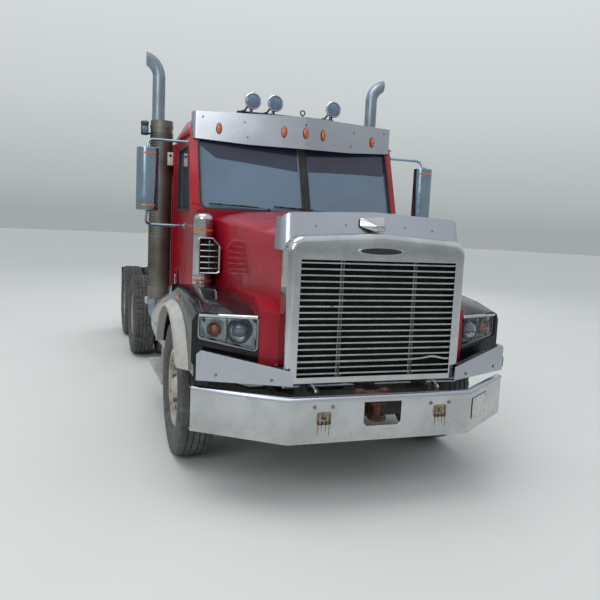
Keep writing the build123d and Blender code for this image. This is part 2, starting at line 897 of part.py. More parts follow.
def cab_solid(inset):
    """The cab as a block, moved in from its outside by inset."""
    side = cab_half - inset
    low = cab_belt - max(inset, 0)
    body = block(-side, side, cab_front + inset, cab_rear - inset, cab_floor + inset, low)
    lean_at_low = -screen_lean * (cab_belt - low) / (cab_eaves - cab_belt)
    lower = level(cab_plan(lean_at_low, inset, cab_half, cab_rear), low)
    upper = level(cab_plan(screen_lean, inset, cab_half, cab_rear), cab_eaves)
    body += loft([lower, upper], ruled=True)
    crown = level(
        cab_plan(screen_lean + 130, inset, cab_half - crown_inset, cab_rear - 50), cab_roof - inset
    )
    body += loft([upper, crown], ruled=True)
    return body


door_outline = [
    (door_front, door_bottom),
    (door_front, cab_belt - 10),
    (screen_side + 90, cab_belt + 60),
    (screen_side + 90 + screen_lean * 0.9, door_top),
    (door_rear, door_top),
    (door_rear, door_bottom),
]
window_outline = [
    (screen_side + 165, cab_belt - 5),
    (screen_side + 75 + screen_lean, door_top - window_edge),
    (door_rear - window_edge, door_top - window_edge),
    (door_rear - window_edge, cab_belt - 5),
]
door_hinge_at = door_front - door_gap / 2
door_hinge_feet = (door_bottom + 110, cab_belt - 200)


def side_cut(points, gap):
    """A side view cut through the right wall's own thickness, grown by a gap."""
    plane = Plane(origin=(-cab_half - 50, 0, 0), x_dir=(0, 1, 0), z_dir=(1, 0, 0))
    face = make_face(Polyline(*points, close=True))
    if gap:
        face = offset(face, gap, kind=Kind.INTERSECTION)
    return extrude(plane * face, cab_wall + 50)


def screen_cut(side):
    """The hole for one half of the windscreen."""
    low, high = cab_belt + 15, cab_eaves - screen_edge
    inner, outer = screen_post, pillar_half - 15
    rear = screen_side + screen_lean + 150
    outline = FilletPolyline(
        (side * inner, low),
        (side * inner, high),
        (side * outer, high),
        (side * outer, low),
        radius=[10, 10, screen_corner / 2, screen_corner],
        close=True,
    )
    plane = Plane(origin=(0, rear, 0), x_dir=(1, 0, 0), z_dir=(0, -1, 0))
    return extrude(plane * make_face(outline), rear - cab_front + 20)


def make_cab():
    outer, inner = cab_solid(0), cab_solid(cab_wall)
    skin = outer - inner
    shell = skin
    pane = cab_solid(glass_depth) - cab_solid(glass_depth + glass_wall)
    glass = []
    for side in (-1, 1):
        hole = screen_cut(side)
        shell -= hole
        glass += list((pane & hole).solids())
    low, half = cab_belt + 40, back_window_half
    back_window = [
        (-half, low),
        (-half, low + back_window_height),
        (half, low + back_window_height),
        (half, low),
    ]
    back = along_y(back_window, cab_rear - cab_wall - 30, cab_rear + 30)
    shell -= back
    glass += list((pane & back).solids())
    opening = side_cut(door_outline, door_gap)
    barrels = []
    for foot in door_hinge_feet:
        top = foot + door_hinge_height
        barrels.append(rod_z(-cab_half, door_hinge_at, door_hinge_radius, foot, top))
        reach = door_hinge_radius + door_hinge_gap
        opening += rod_z(-cab_half, door_hinge_at, reach, foot - door_hinge_gap, top + door_hinge_gap)
    shell -= opening
    shell -= mirrored(opening)
    # rubber mounts down to the rails
    for x in (-rail_outer + mount_radius, rail_outer - mount_radius):
        for y in (cab_front + 120, deck_front - 2 * mount_radius):
            shell += rod_z(x, y, mount_radius, frame_top + side_gap, cab_floor + 1)
    keep("cab_shell", shell)
    keep("cab_glass", *glass)
    panel = (skin & side_cut(door_outline, 0)) - side_cut(window_outline, 0)
    for barrel in barrels:
        panel += barrel
    pane_side = pane & side_cut(window_outline, 0)
    for side, word in ((-1, "right"), (1, "left")):
        keep("door_" + word, panel if side < 0 else mirrored(panel))
        keep("door_glass_" + word, pane_side if side < 0 else mirrored(pane_side))


# Sun visor over the windscreen, roof lamps
def visor_plan(back, half):
    rear = visor_back + 100
    side_front = visor_front + visor_sweep + back
    return make_face(
        FilletPolyline(
            (-half, rear),
            (-half, side_front),
            (0, visor_front + back),
            (half, side_front),
            (half, rear),
            radius=[0, visor_corner, 0, visor_corner, 0],
            close=True,
        )
    )


def make_visor():
    low = cab_eaves - visor_drop
    body = extrude(Plane.XY.offset(low) * visor_plan(0, visor_half), visor_top - low)
    inner = Plane.XY.offset(low - cut_over) * visor_plan(visor_wall, visor_half - visor_wall)
    body -= extrude(inner, visor_top - low - visor_wall + cut_over)
    wide, under = visor_half + 20, low - 20
    arch = [
        (-wide, under),
        (-wide, low + visor_end_rise),
        (-visor_half / 2, low + visor_end_rise / 4),
        (0, low),
        (visor_half / 2, low + visor_end_rise / 4),
        (wide, low + visor_end_rise),
        (wide, under),
    ]
    body -= along_y(arch, visor_front - 50, visor_back + 200)
    body -= cab_solid(-side_gap)
    body -= block(-wide, wide, visor_back, visor_back + 200, under, visor_top + 20)
    keep("visor", max(body.solids(), key=lambda s: s.volume))


def make_roof_lamps():
    y = visor_back + 160
    low = cab_roof + 70
    bar = block(-600, 460, y, y + roof_bar_width, low, low + roof_bar_height)
    for x in (-480, 0, 340):
        bar += block(x - 20, x + 20, y - 10, y + 50, cab_roof + side_gap, low + 1)
    lamp_z = low + roof_bar_height + roof_lamp_radius + 8
    for x in roof_lamps_at:
        face = y - roof_lamp_depth
        bar += rod_y(x, lamp_z, roof_lamp_radius, face, y)
        bar += block(x - 12, x + 12, y - 20, y + roof_bar_width - 8, low + 10, lamp_z)
    keep("roof_lamps", bar)


# Things inside the cab
def make_interior():
    front, floor = cab_front + cab_wall + 1, cab_floor + cab_wall + side_gap
    side = cab_half - cab_wall - 8
    top = cab_belt - cab_wall - 10
    view = [
        (front, top - 230),
        (front, top),
        (screen_side + 20, top),
        (screen_side + 200, top - 70),
        (screen_side + 200, top - 210),
        (screen_side + 100, top - 310),
        (screen_side + 20, floor),
        (front, floor),
    ]
    dash = along_x(view, -side, side)
    keep("dashboard", dash)
    seats = []
    rear = cab_rear - 160
    front = rear - seat_width - 50
    cushion = floor + 360
    for x in (-seat_half, seat_half):
        half = seat_width / 2
        seat = block(x - half, x + half, front, rear - 50, cushion, cushion + seat_cushion)
        seat += Pos(x, rear - 40, cushion + 380) * Rot(-8, 0, 0) * Box(seat_width - 20, 100, 620)
        seat += block(x - half + 70, x + half - 70, front + 70, rear - 110, floor, cushion)
        seats.append(seat)
    keep("seats", *seats)
    hub = Pos(seat_half, screen_side + 250, cab_belt - 60) * Rot(-55, 0, 0)
    wheel = hub * Torus(wheel_ring, wheel_grip)
    for turn in (0, 120, 240):
        wheel += hub * Rot(0, 0, turn) * Pos(0, wheel_ring / 2, 0) * Box(34, wheel_ring, 14)
    wheel += hub * Cylinder(48, 36)
    wheel += hub * Pos(0, 0, -65) * Cylinder(24, 120)
    wheel -= dash
    keep("steering_wheel", max(wheel.solids(), key=lambda s: s.volume))


# Air cleaners on the cowl
def make_air_cleaners():
    can = rod_z(-cleaner_half, cleaner_at, cleaner_radius, cleaner_foot, cleaner_top)
    rim = can.edges().filter_by(GeomType.CIRCLE).group_by(Axis.Z)[-1]
    can = fillet(rim, cleaner_radius * 0.6)
    mid = (cleaner_foot + cleaner_top) / 2
    near, far = -cab_half + 20, -cleaner_half + 20
    can += block(near, far, cleaner_at, cab_front - side_gap, mid - 30, mid + 30)
    keep("air_cleaners", *both(can))


# Hood and what tilts with it
def hood_section(station, half_view, foot, inset):
    """One cross section of the hood at a station, from its (x, z, fillet) corners."""
    corners = [(half_view[0][0], foot, 0)] + half_view
    left = [(-(x - inset), z - (0 if z == foot else inset), r) for x, z, r in corners if x]
    right = [(-x, z, r) for x, z, r in reversed(left)]
    ridge = [(0, z - inset, r) for x, z, r in corners if not x]
    whole = left + ridge + right
    plane = Plane(origin=(0, station, 0), x_dir=(1, 0, 0), z_dir=(0, -1, 0))
    outline = FilletPolyline(*[(x, z) for x, z, r in whole], radius=[r for x, z, r in whole], close=True)
    return plane * make_face(outline)


# distance from the middle, height, fillet: the side, the crease, the shoulder, the top's edge
hood_front_view = [(640, 1703, 0), (632, 1778, 25), (597, 1813, 30), (500, 1835, 60), (0, 1862, 1500)]
hood_rear_view = [(845, 1793, 0), (838, 1880, 25), (738, 1915, 30), (570, 1945, 60), (0, 1985, 1500)]


def hood_block(inset, foot):
    front = hood_section(hood_front, hood_front_view, foot, inset)
    rear = hood_section(hood_rear, hood_rear_view, foot, inset)
    return loft([front, rear], ruled=True)


def make_hood():
    outer = hood_block(0, hood_skirt)
    inner = hood_block(hood_wall, hood_skirt - cut_over)
    shell = outer - inner
    # red flank between the grille surround and the fender, seated on the shell's side
    near = hood_front + 1
    plan = [
        (-surround_half + 30, near),
        (-surround_half, near),
        (-flank_outer, near + 34),
        (-flank_outer, flank_end),
        (-surround_half - 50, flank_end),
        (-surround_half + 30, near + 200),
    ]
    flank = along_z(plan, 930, flank_top)
    slope = [
        (near - 50, flank_top - 110),
        (near, flank_top - 87),
        (near + 170, flank_top),
        (flank_end, flank_top),
        (flank_end, 900),
        (near - 50, 900),
    ]
    flank &= along_x(slope, -900, -500)
    flank -= hood_block(0, hood_skirt - 300)
    flank -= wheel_well(arch_radius)
    flank -= lamp_body(side_gap, lamp_depth + 1)
    shell += flank + mirrored(flank)
    keep("hood_shell", shell)


def panel_y(x):
    """Station of the chrome corner panel's face at a distance x from the middle."""
    return panel_front + (x - panel_inner) * (panel_rear - panel_front) / (panel_outer - panel_inner)


# station, height at the inner edge, at the crown and at the outer shoulder
fender_stations = [
    (330, 1180, 1185, 1180),
    (450, 1243, 1262, 1262),
    (700, 1289, 1318, 1318),
    (1040, 1322, 1356, 1356),
    (1270, 1331, 1362, 1360),
    (fender_rear, 1327, 1350, 1345),
]
# station, height: the fender's back behind the wheel, outboard of the cab's side
tail_view = [
    (fender_rear - 1, 1345),
    (fender_rear + 100, 1290),
    (fender_rear + 200, 1200),
    (fender_rear + 240, 1168),
    (fender_rear + 360, 1105),
    (fender_tail, 1010),
    (fender_tail, tail_foot),
    (fender_rear - 1, tail_foot),
]


def fender_section(station, inner, crown, outer):
    edge = -flank_outer - side_gap
    points = [
        (edge, fender_foot),
        (edge, inner),
        (edge - 170, crown),
        (-fender_outer + 72, outer),
        (-fender_outer + 24, outer - 22),
        (-fender_outer, outer - 70),
        (-fender_outer, fender_foot),
    ]
    plane = Plane(origin=(0, station, 0), x_dir=(1, 0, 0), z_dir=(0, -1, 0))
    return plane * make_face(Polyline(*points, close=True))


def make_fenders():
    seat = panel_wall + side_gap
    body = loft([fender_section(*row) for row in fender_stations], ruled=True)
    plan = [
        (-flank_outer, 335),
        (-fender_outer, 492),
        (-fender_outer - 1, fender_rear + 1),
        (-flank_outer + 1, fender_rear + 1),
    ]
    body &= along_z(plan, tail_foot, flank_top + 100)
    tail = along_x(tail_view, -fender_outer, -fender_tail_inner)
    body += tail
    inner, outer = surround_half + side_gap, fender_outer
    front, back = panel_y(inner) + seat, panel_y(outer) + seat
    valance = [(-inner, front), (-outer, back), (-outer, 700), (-900, 700), (-inner, 300)]
    body += along_z(valance, fender_foot, valance_top)
    body -= wheel_well(arch_radius)
    body -= hood_block(-side_gap, 800)
    body -= lamp_body(side_gap, lamp_depth + 1)
    keep("fenders", *both(body))


# station, height of the flare's seam on the fender, then of its outer lip
flare_rows = [
    (560, 845, 650, 845),
    (585, 925, 672, 925),
    (640, 1000, 712, 990),
    (750, 1120, 800, 1060),
    (900, 1200, 930, 1130),
    (1090, 1238, 1120, 1185),
    (1270, 1243, 1330, 1200),
    (1480, 1225, 1530, 1172),
    (1700, 1150, 1700, 1110),
    (1850, 1080, 1800, 1040),
    (1960, 980, 1880, 940),
    (2000, 880, 1920, 850),
    (2005, tail_foot, 1930, tail_foot),
]


def make_flares():
    """The light rubber lip round the wheel opening, swelling out from the fender."""
    near = -fender_outer - side_gap
    seam = [(y, z) for y, z, lip_y, lip_z in flare_rows]
    lip = [(lip_y, lip_z) for y, z, lip_y, lip_z in flare_rows]
    first_foot, last_foot = seam[0][1], seam[-1][1]
    close = [(front_axle_at + 200, last_foot - 200), (front_axle_at - 200, first_foot - 200)]
    faces = []
    for x, points in ((near, seam), (near - flare_reach, lip)):
        plane = Plane(origin=(x, 0, 0), x_dir=(0, 1, 0), z_dir=(1, 0, 0))
        faces.append(plane * make_face(Polyline(*(points + close), close=True)))
    flare = loft(faces, ruled=True)
    flare -= wheel_well(arch_radius)
    flare -= block(-2 * bumper_half, 0, 0, front_axle_at, 0, first_foot)
    flare -= block(-2 * bumper_half, 0, front_axle_at, 2 * front_axle_at, 0, last_foot)
    keep("fender_flares", *both(max(flare.solids(), key=lambda s: s.volume)))


def surround_block(inset):
    """The grille surround before its opening is cut, moved in by inset."""
    half, top, bottom = surround_half - inset, surround_top - inset, surround_bottom + inset
    side_top = top - surround_shoulder
    corners = [(-half, bottom), (-half, side_top), (0, top), (half, side_top), (half, bottom)]
    depth = surround_depth - 2 * inset
    plane = Plane(origin=(0, surround_front + inset + depth, 0), x_dir=(1, 0, 0), z_dir=(0, -1, 0))
    corner = surround_corner
    face = make_face(FilletPolyline(*corners, radius=[0, corner, 0, corner, 0], close=True))
    body = extrude(plane * face, depth)
    rim = body.faces().sort_by(Axis.Y)[0].edges()
    return fillet(rim, surround_round)


def make_grille():
    y0, y1 = surround_front, surround_front + surround_depth
    body = surround_block(0)
    body -= block(-grille_half, grille_half, y0 - cut_over, y1 + cut_over, grille_bottom, grille_top)
    # hinge arms under the surround, with their pins through the frame's lugs
    near = -rail_outer - bracket_wall - 1
    arm_wall = 14
    arm_view = [
        (hinge_at - 14, hinge_height + 14),
        (y0 + 20, surround_bottom + 30),
        (y0 + 60, surround_bottom + 30),
        (hinge_at + 10, hinge_height - 14),
    ]
    arm = along_x(arm_view, near - arm_wall, near)
    arm += rod_x(hinge_at, hinge_height, hinge_pin + 8, near - arm_wall, near)
    arm += rod_x(hinge_at, hinge_height, hinge_pin, near - arm_wall, -rail_outer + 4)
    body += arm + mirrored(arm)
    keep("grille_surround", body)
    pitch = (grille_top - grille_bottom) / bar_count
    y = y0 + bar_inset
    bars = []
    for number in range(bar_count):
        low = grille_bottom + (number + 0.5) * pitch - bar_height / 2
        bars.append(block(-grille_half, grille_half, y, y + bar_depth, low, low + bar_height))
    half = bar_support_width / 2
    y += bar_depth - 6
    for x in (-bar_support_at, bar_support_at):
        bars.append(block(x - half, x + half, y, y + support_depth, grille_bottom, grille_top))
    keep("grille_bars", bars[0].fuse(*bars[1:]))


def shield_plan(z, front, half, wall):
    """The shield's outline at one height: a front with bent ends, open at the back."""
    back = shield_foot + shield_reach + 90
    points = [(-half, back), (-half, front), (half, front), (half, back)]
    bend = shield_bend - wall
    face = make_face(FilletPolyline(*points, radius=[0, bend, bend, 0], close=True))
    return Plane.XY.offset(z) * face


def shield_block(wall):
    front = shield_foot + wall
    half = shield_half - wall
    base = shield_plan(shield_low, front, half, wall)
    lip = shield_plan(shield_high, front + shield_lean, half - 12, wall)
    return loft([base, lip], ruled=True)


def make_shield():
    body = shield_block(0) - shield_block(shield_plate)
    half, low, high = shield_half + cut_over, shield_low - cut_over, shield_high
    ends = high - shield_end_drop
    corners = [(-half, low), (-half, ends), (0, high), (half, ends), (half, low)]
    plane = Plane(origin=(0, shield_foot + shield_reach, 0), x_dir=(1, 0, 0), z_dir=(0, -1, 0))
    corner = shield_corner
    face = make_face(FilletPolyline(*corners, radius=[0, corner, 0, corner, 0], close=True))
    body &= extrude(plane * face, shield_reach + 50)
    body -= hood_block(-side_gap, 1000)
    body -= surround_block(-side_gap)
    keep("hood_shield", max(body.solids(), key=lambda s: s.volume))


def lamp_plane():
    """The plane of the right lamp, facing forwards and a little outwards."""
    start, end = Vector(-flank_outer, 352, 0), Vector(-fender_outer + 35, 492, 0)
    along = (end - start).normalized()
    return Plane(origin=start, x_dir=along, z_dir=along.cross(Vector(0, 0, 1)))


def lamp_face(inset):
    corners = [
        (inset, lamp_foot + inset),
        (inset, lamp_top - inset),
        (lamp_width - inset, lamp_top - inset),
        (lamp_width - inset, lamp_outer_foot + inset),
    ]
    corner = lamp_corner - inset / 2
    return lamp_plane() * make_face(FilletPolyline(*corners, radius=corner, close=True))


def lamp_body(gap, depth):
    """The lamp's block; with a gap it is the space to cut for it, open to the front."""
    solid = extrude(lamp_face(-gap), depth)
    return solid + extrude(lamp_face(-gap), -200) if gap else solid


def make_front_trim():
    start, end = (-panel_inner, panel_front), (-panel_outer, panel_rear)
    # height of its top edge at the truck's middle side and, rising outwards, at its outer end
    slope = (panel_top_outer - panel_top_inner) / (panel_outer - panel_inner)
    clip_at = panel_outer - panel_clip
    clip_top = panel_top_outer - slope * panel_clip
    inner_end, inner_top = panel_inner - 40, panel_top_inner - slope * 40
    plan = [start, end, (end[0], end[1] + panel_wall), (start[0], start[1] + panel_wall)]
    panel = along_z(plan, fender_foot - 25, panel_top_outer)
    low = fender_foot - 70
    view = [
        (-panel_outer - 1, clip_top - panel_clip),
        (-clip_at, clip_top),
        (-inner_end, inner_top),
        (-inner_end, low),
        (-panel_outer - 1, low),
    ]
    panel &= along_y(view, 0, panel_front + 500)
    # its top edge is turned back as a flange
    deep = panel_flange
    near = surround_half + side_gap
    start = (-near, panel_y(near))
    plan = [start, end, (end[0], end[1] + deep), (start[0], start[1] + deep)]
    flange = along_z(plan, fender_foot - 25, panel_top_outer)
    thin = [(-clip_at, clip_top), (-inner_end, inner_top)]
    thin += [(x, z - panel_wall) for x, z in reversed(thin)]
    panel += flange & along_y(thin, 0, panel_front + 500)
    keep("corner_panels", *both(panel))
    lamp = lamp_body(0, lamp_depth) - extrude(lamp_face(bezel), bezel_depth)
    for across, height, radius in (turn_lamp, main_lamp):
        lamp += lamp_spot(across, height, radius)
    keep("headlamps", *both(lamp))


def lamp_spot(across, height, radius):
    """A round lamp standing up a little from the bottom of the bezel's recess."""
    face = lamp_plane().offset(bezel_depth - lamp_rise) * Pos(across, height, 0) * Circle(radius)
    return extrude(face, lamp_rise + 1)


def make_intakes():
    outer, inner = cab_half + 25, cab_half - 205
    low, high, front, back = 1430, 1730, 1395, fender_rear
    body = block(-outer, -inner, front, back, low, high)
    slots = 4
    pitch = (high - low - 52) / slots
    for number in range(slots):
        z = low + 28 + number * pitch
        body -= block(-outer + 20, -outer + 140, front - cut_over, front + 70, z, z + 40)
    body -= hood_block(-side_gap, 1000)
    keep("intakes", *both(body))


# Mirrors on the doors
def make_mirrors():
    x = -mirror_half
    half = mirror_width / 2
    low = cab_belt - 25
    high = low + mirror_height
    front = screen_side + 150
    back = front + mirror_depth
    # the back is flat for the glass and the front is bowed
    bow = (half**2 + mirror_bow**2) / (2 * mirror_bow)
    head = block(x - half, x + half, front, back, low, high) & rod_z(x, front + bow, bow, low, high)
    head += block(x - half, x + half, front + mirror_bow, back, low, high)
    head = fillet(head.edges().filter_by(Plane.XY), mirror_round)
    foot = -cab_half - side_gap
    body = head
    # station and height of each arm's foot on the door, then of its end in the head
    arms = [
        (back + 40, high + 77, front + 50, high - 30),
        (back + 130, low - 125, front + 50, low + 30),
    ]
    for foot_y, foot_z, head_y, head_z in arms:
        points = [(foot, foot_y, foot_z), (x, foot_y, foot_z), (x, head_y, head_z)]
        body += bent_tube(points, mirror_tube_bend, mirror_tube)
    for side, word in ((-1, "right"), (1, "left")):
        keep("mirror_" + word, body if side < 0 else mirrored(body))


# Coupling and mudflaps
def make_fifth_wheel():
    seat, top = frame_top + side_gap, frame_top + base_wall
    near, far = fifth_at - base_reach, fifth_at + base_reach
    ear_top = pivot_height + 20
    base = block(-base_half, base_half, near, near + 60, seat, top)
    base += block(-base_half, base_half, far - 60, far, seat, top)
    ear_view = [
        (fifth_at - 150, top - 6),
        (fifth_at - 60, ear_top),
        (fifth_at + 60, ear_top),
        (fifth_at + 150, top - 6),
    ]
    for side in (-1, 1):
        x = side * base_half
        base += block(x - 40, x + 40, near, far, seat, top)
        base += along_x(ear_view, x - 20, x + 20)
    base -= rod_x(fifth_at, pivot_height, pivot_radius + pivot_gap, -base_half - 50, base_half + 50)
    keep("fifth_wheel_base", base)
    low = fifth_top - fifth_plate
    half, front, rear = fifth_half, fifth_at - fifth_front_reach, fifth_at + fifth_rear_reach
    left = [
        (-kingpin_bore, fifth_at),
        (-kingpin_bore, fifth_at + 120),
        (-150, rear),
        (-half + 120, rear),
        (-half, fifth_at + 180),
        (-half, fifth_at - 220),
        (-half + 140, front),
    ]
    plate = along_z([(-x, y) for x, y in left] + left[::-1], low, fifth_top)
    plate -= rod_z(0, fifth_at, kingpin_bore, low - cut_over, fifth_top + cut_over)
    for side in (-1, 1):
        x = side * (base_half - 50)
        plate += block(x - 14, x + 14, fifth_at - 100, fifth_at + 100, pivot_height - 40, low + 1)
        x0, x1 = sorted((side * (base_half - 60), side * (base_half + 25)))
        plate += rod_x(fifth_at, pivot_height, pivot_radius, x0, x1)
    keep("fifth_wheel_plate", plate)


def make_mudflaps():
    y = last_axle_at + flap_behind
    top = frame_top - 70
    flap = block(-flap_outer, -flap_inner, y, y + flap_wall, flap_foot, top)
    flap += block(-flap_outer, -rail_outer - side_gap, y - 20, y - 20 + flap_rail, top, top + flap_rail)
    keep("mudflaps", *both(flap))


make_frame()
make_bumper()
make_engine()
make_front_axle()
make_knuckle(-1)
make_knuckle(1)
make_tie_rod()
make_wheels()
make_rear_axles()
make_tanks()
make_steps()
make_deck()
make_exhaust()
make_cab()
make_visor()
make_roof_lamps()
make_interior()
make_air_cleaners()
make_hood()
make_fenders()
make_flares()
make_grille()
make_shield()
make_front_trim()
make_intakes()
make_mirrors()
make_fifth_wheel()
make_mudflaps()

os.makedirs("parts", exist_ok=True)
for name, solids in nodes.items():
    shape = solids[0] if len(solids) == 1 else Compound(children=solids)
    export_step(shape, f"parts/{name}.step")
    print(name, len(solids), round(sum(s.volume for s in solids) / 1e6, 2))
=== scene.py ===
import bmesh
import bpy
import json
from bpy.props import FloatProperty, IntProperty, PointerProperty, StringProperty
from math import cos, exp, hypot, pi, radians, sin
from mathutils import Matrix, Vector

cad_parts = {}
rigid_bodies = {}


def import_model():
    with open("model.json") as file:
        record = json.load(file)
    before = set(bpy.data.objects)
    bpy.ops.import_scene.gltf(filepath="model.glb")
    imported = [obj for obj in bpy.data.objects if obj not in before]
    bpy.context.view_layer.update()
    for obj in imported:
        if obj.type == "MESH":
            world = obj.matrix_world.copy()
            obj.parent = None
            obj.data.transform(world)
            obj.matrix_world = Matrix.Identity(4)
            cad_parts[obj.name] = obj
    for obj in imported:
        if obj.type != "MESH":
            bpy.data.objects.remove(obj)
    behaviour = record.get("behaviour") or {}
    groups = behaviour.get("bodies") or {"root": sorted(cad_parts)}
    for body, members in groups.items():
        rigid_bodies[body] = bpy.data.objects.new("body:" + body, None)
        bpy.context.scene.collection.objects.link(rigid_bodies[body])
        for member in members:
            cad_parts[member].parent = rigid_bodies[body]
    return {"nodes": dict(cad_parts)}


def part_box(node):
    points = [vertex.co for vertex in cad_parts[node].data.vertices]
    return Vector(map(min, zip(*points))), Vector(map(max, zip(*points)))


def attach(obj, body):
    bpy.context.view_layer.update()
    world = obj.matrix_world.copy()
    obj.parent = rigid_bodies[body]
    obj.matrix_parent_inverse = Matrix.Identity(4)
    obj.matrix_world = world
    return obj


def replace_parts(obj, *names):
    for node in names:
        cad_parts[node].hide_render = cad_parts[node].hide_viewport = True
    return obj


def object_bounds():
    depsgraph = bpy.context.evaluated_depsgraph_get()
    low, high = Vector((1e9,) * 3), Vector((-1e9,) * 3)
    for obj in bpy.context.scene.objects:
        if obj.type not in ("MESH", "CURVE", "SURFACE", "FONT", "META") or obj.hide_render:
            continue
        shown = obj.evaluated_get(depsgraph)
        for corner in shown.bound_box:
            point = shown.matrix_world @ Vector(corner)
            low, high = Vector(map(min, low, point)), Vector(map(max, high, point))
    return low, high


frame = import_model()
for left_over in [o for o in bpy.data.objects if o.name in ("Cube", "Light", "Camera")]:
    bpy.data.objects.remove(left_over)
cad_box = [list(corner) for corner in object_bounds()]

bl_info = {
    "name": "Semi truck tractor unit",
    "version": (1, 0, 0),
    "blender": (4, 5, 0),
    "location": "3D View > Sidebar > Tractor unit",
    "description": "Dresses the packed tractor unit: tyres, lamps, brightwork, trim and weathered finishes",
    "category": "Object",
}

# Distance from the model's middle to the bumper's face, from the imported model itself
HALF_LENGTH = -cad_box[0][1]
SIDES = ((-1, "right"), (1, "left"))        # the truck's right is at X below zero
ACROSS, BACK, UP, AHEAD = (1, 0, 0), (0, 1, 0), (0, 0, 1), (0, -1, 0)

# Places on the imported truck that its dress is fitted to, in millimetres
WHEEL_RADIUS, BEAD_RADIUS = 535, 306
FRONT_AXLE, DRIVE_AXLES = 1330, (5290, 6815)
FRONT_TRACK, DUAL_MIDDLE, DUAL_OFFSET = 1077, 912, 165
BUMPER_FLAT, BUMPER_TOP, BUMPER_RAKE = 660, 765, 0.7455     # rake: how far it runs back for each millimetre out
SCREEN_SPLAY, SCREEN_RAKE = 0.1946, 0.3623                  # how far the screen runs back for each millimetre out or up
STACK_X, STACK_Y, SHIELD_RADIUS = 1120, 3030, 110.5
SEAT_X = 480
PANEL_RAKE = 263 / 585                                      # and how far a corner panel does


# --- Colours and nodes ---------------------------------------------------------------------

def linear(hex_colour, alpha=1.0):
    """An sRGB hex colour as Blender's linear one."""
    parts = [int(hex_colour[i:i + 2], 16) / 255 for i in (1, 3, 5)]
    return (*[p / 12.92 if p <= 0.04045 else ((p + 0.055) / 1.055) ** 2.4 for p in parts], alpha)


def add(tree, kind, inputs=None, **settings):
    """Adds a node, sets it up, and fills or links its inputs by name or number."""
    node = tree.nodes.new(kind)
    for key, value in settings.items():
        setattr(node, key, value)
    for key, value in (inputs or {}).items():
        socket = node.inputs[key]
        if isinstance(value, bpy.types.NodeSocket):
            tree.links.new(value, socket)
        else:
            socket.default_value = value
    return node


def maths(tree, operation, *values):
    """What one operation makes of numbers or sockets."""
    return add(tree, "ShaderNodeMath", dict(enumerate(values)), operation=operation).outputs[0]


def mixed(tree, share, a, b):
    """One colour, or one number, that runs over into another."""
    if isinstance(a, (int, float)) or getattr(a, "type", "") == "VALUE":
        return add(tree, "ShaderNodeMix", {"Factor": share, 2: a, 3: b}, data_type="FLOAT").outputs[0]
    return add(tree, "ShaderNodeMix", {"Factor": share, 6: a, 7: b}, data_type="RGBA").outputs[2]


def blank_material(name):
    material = bpy.data.materials.new(name)
    material.use_nodes = True
    material.node_tree.nodes.clear()
    return material, material.node_tree


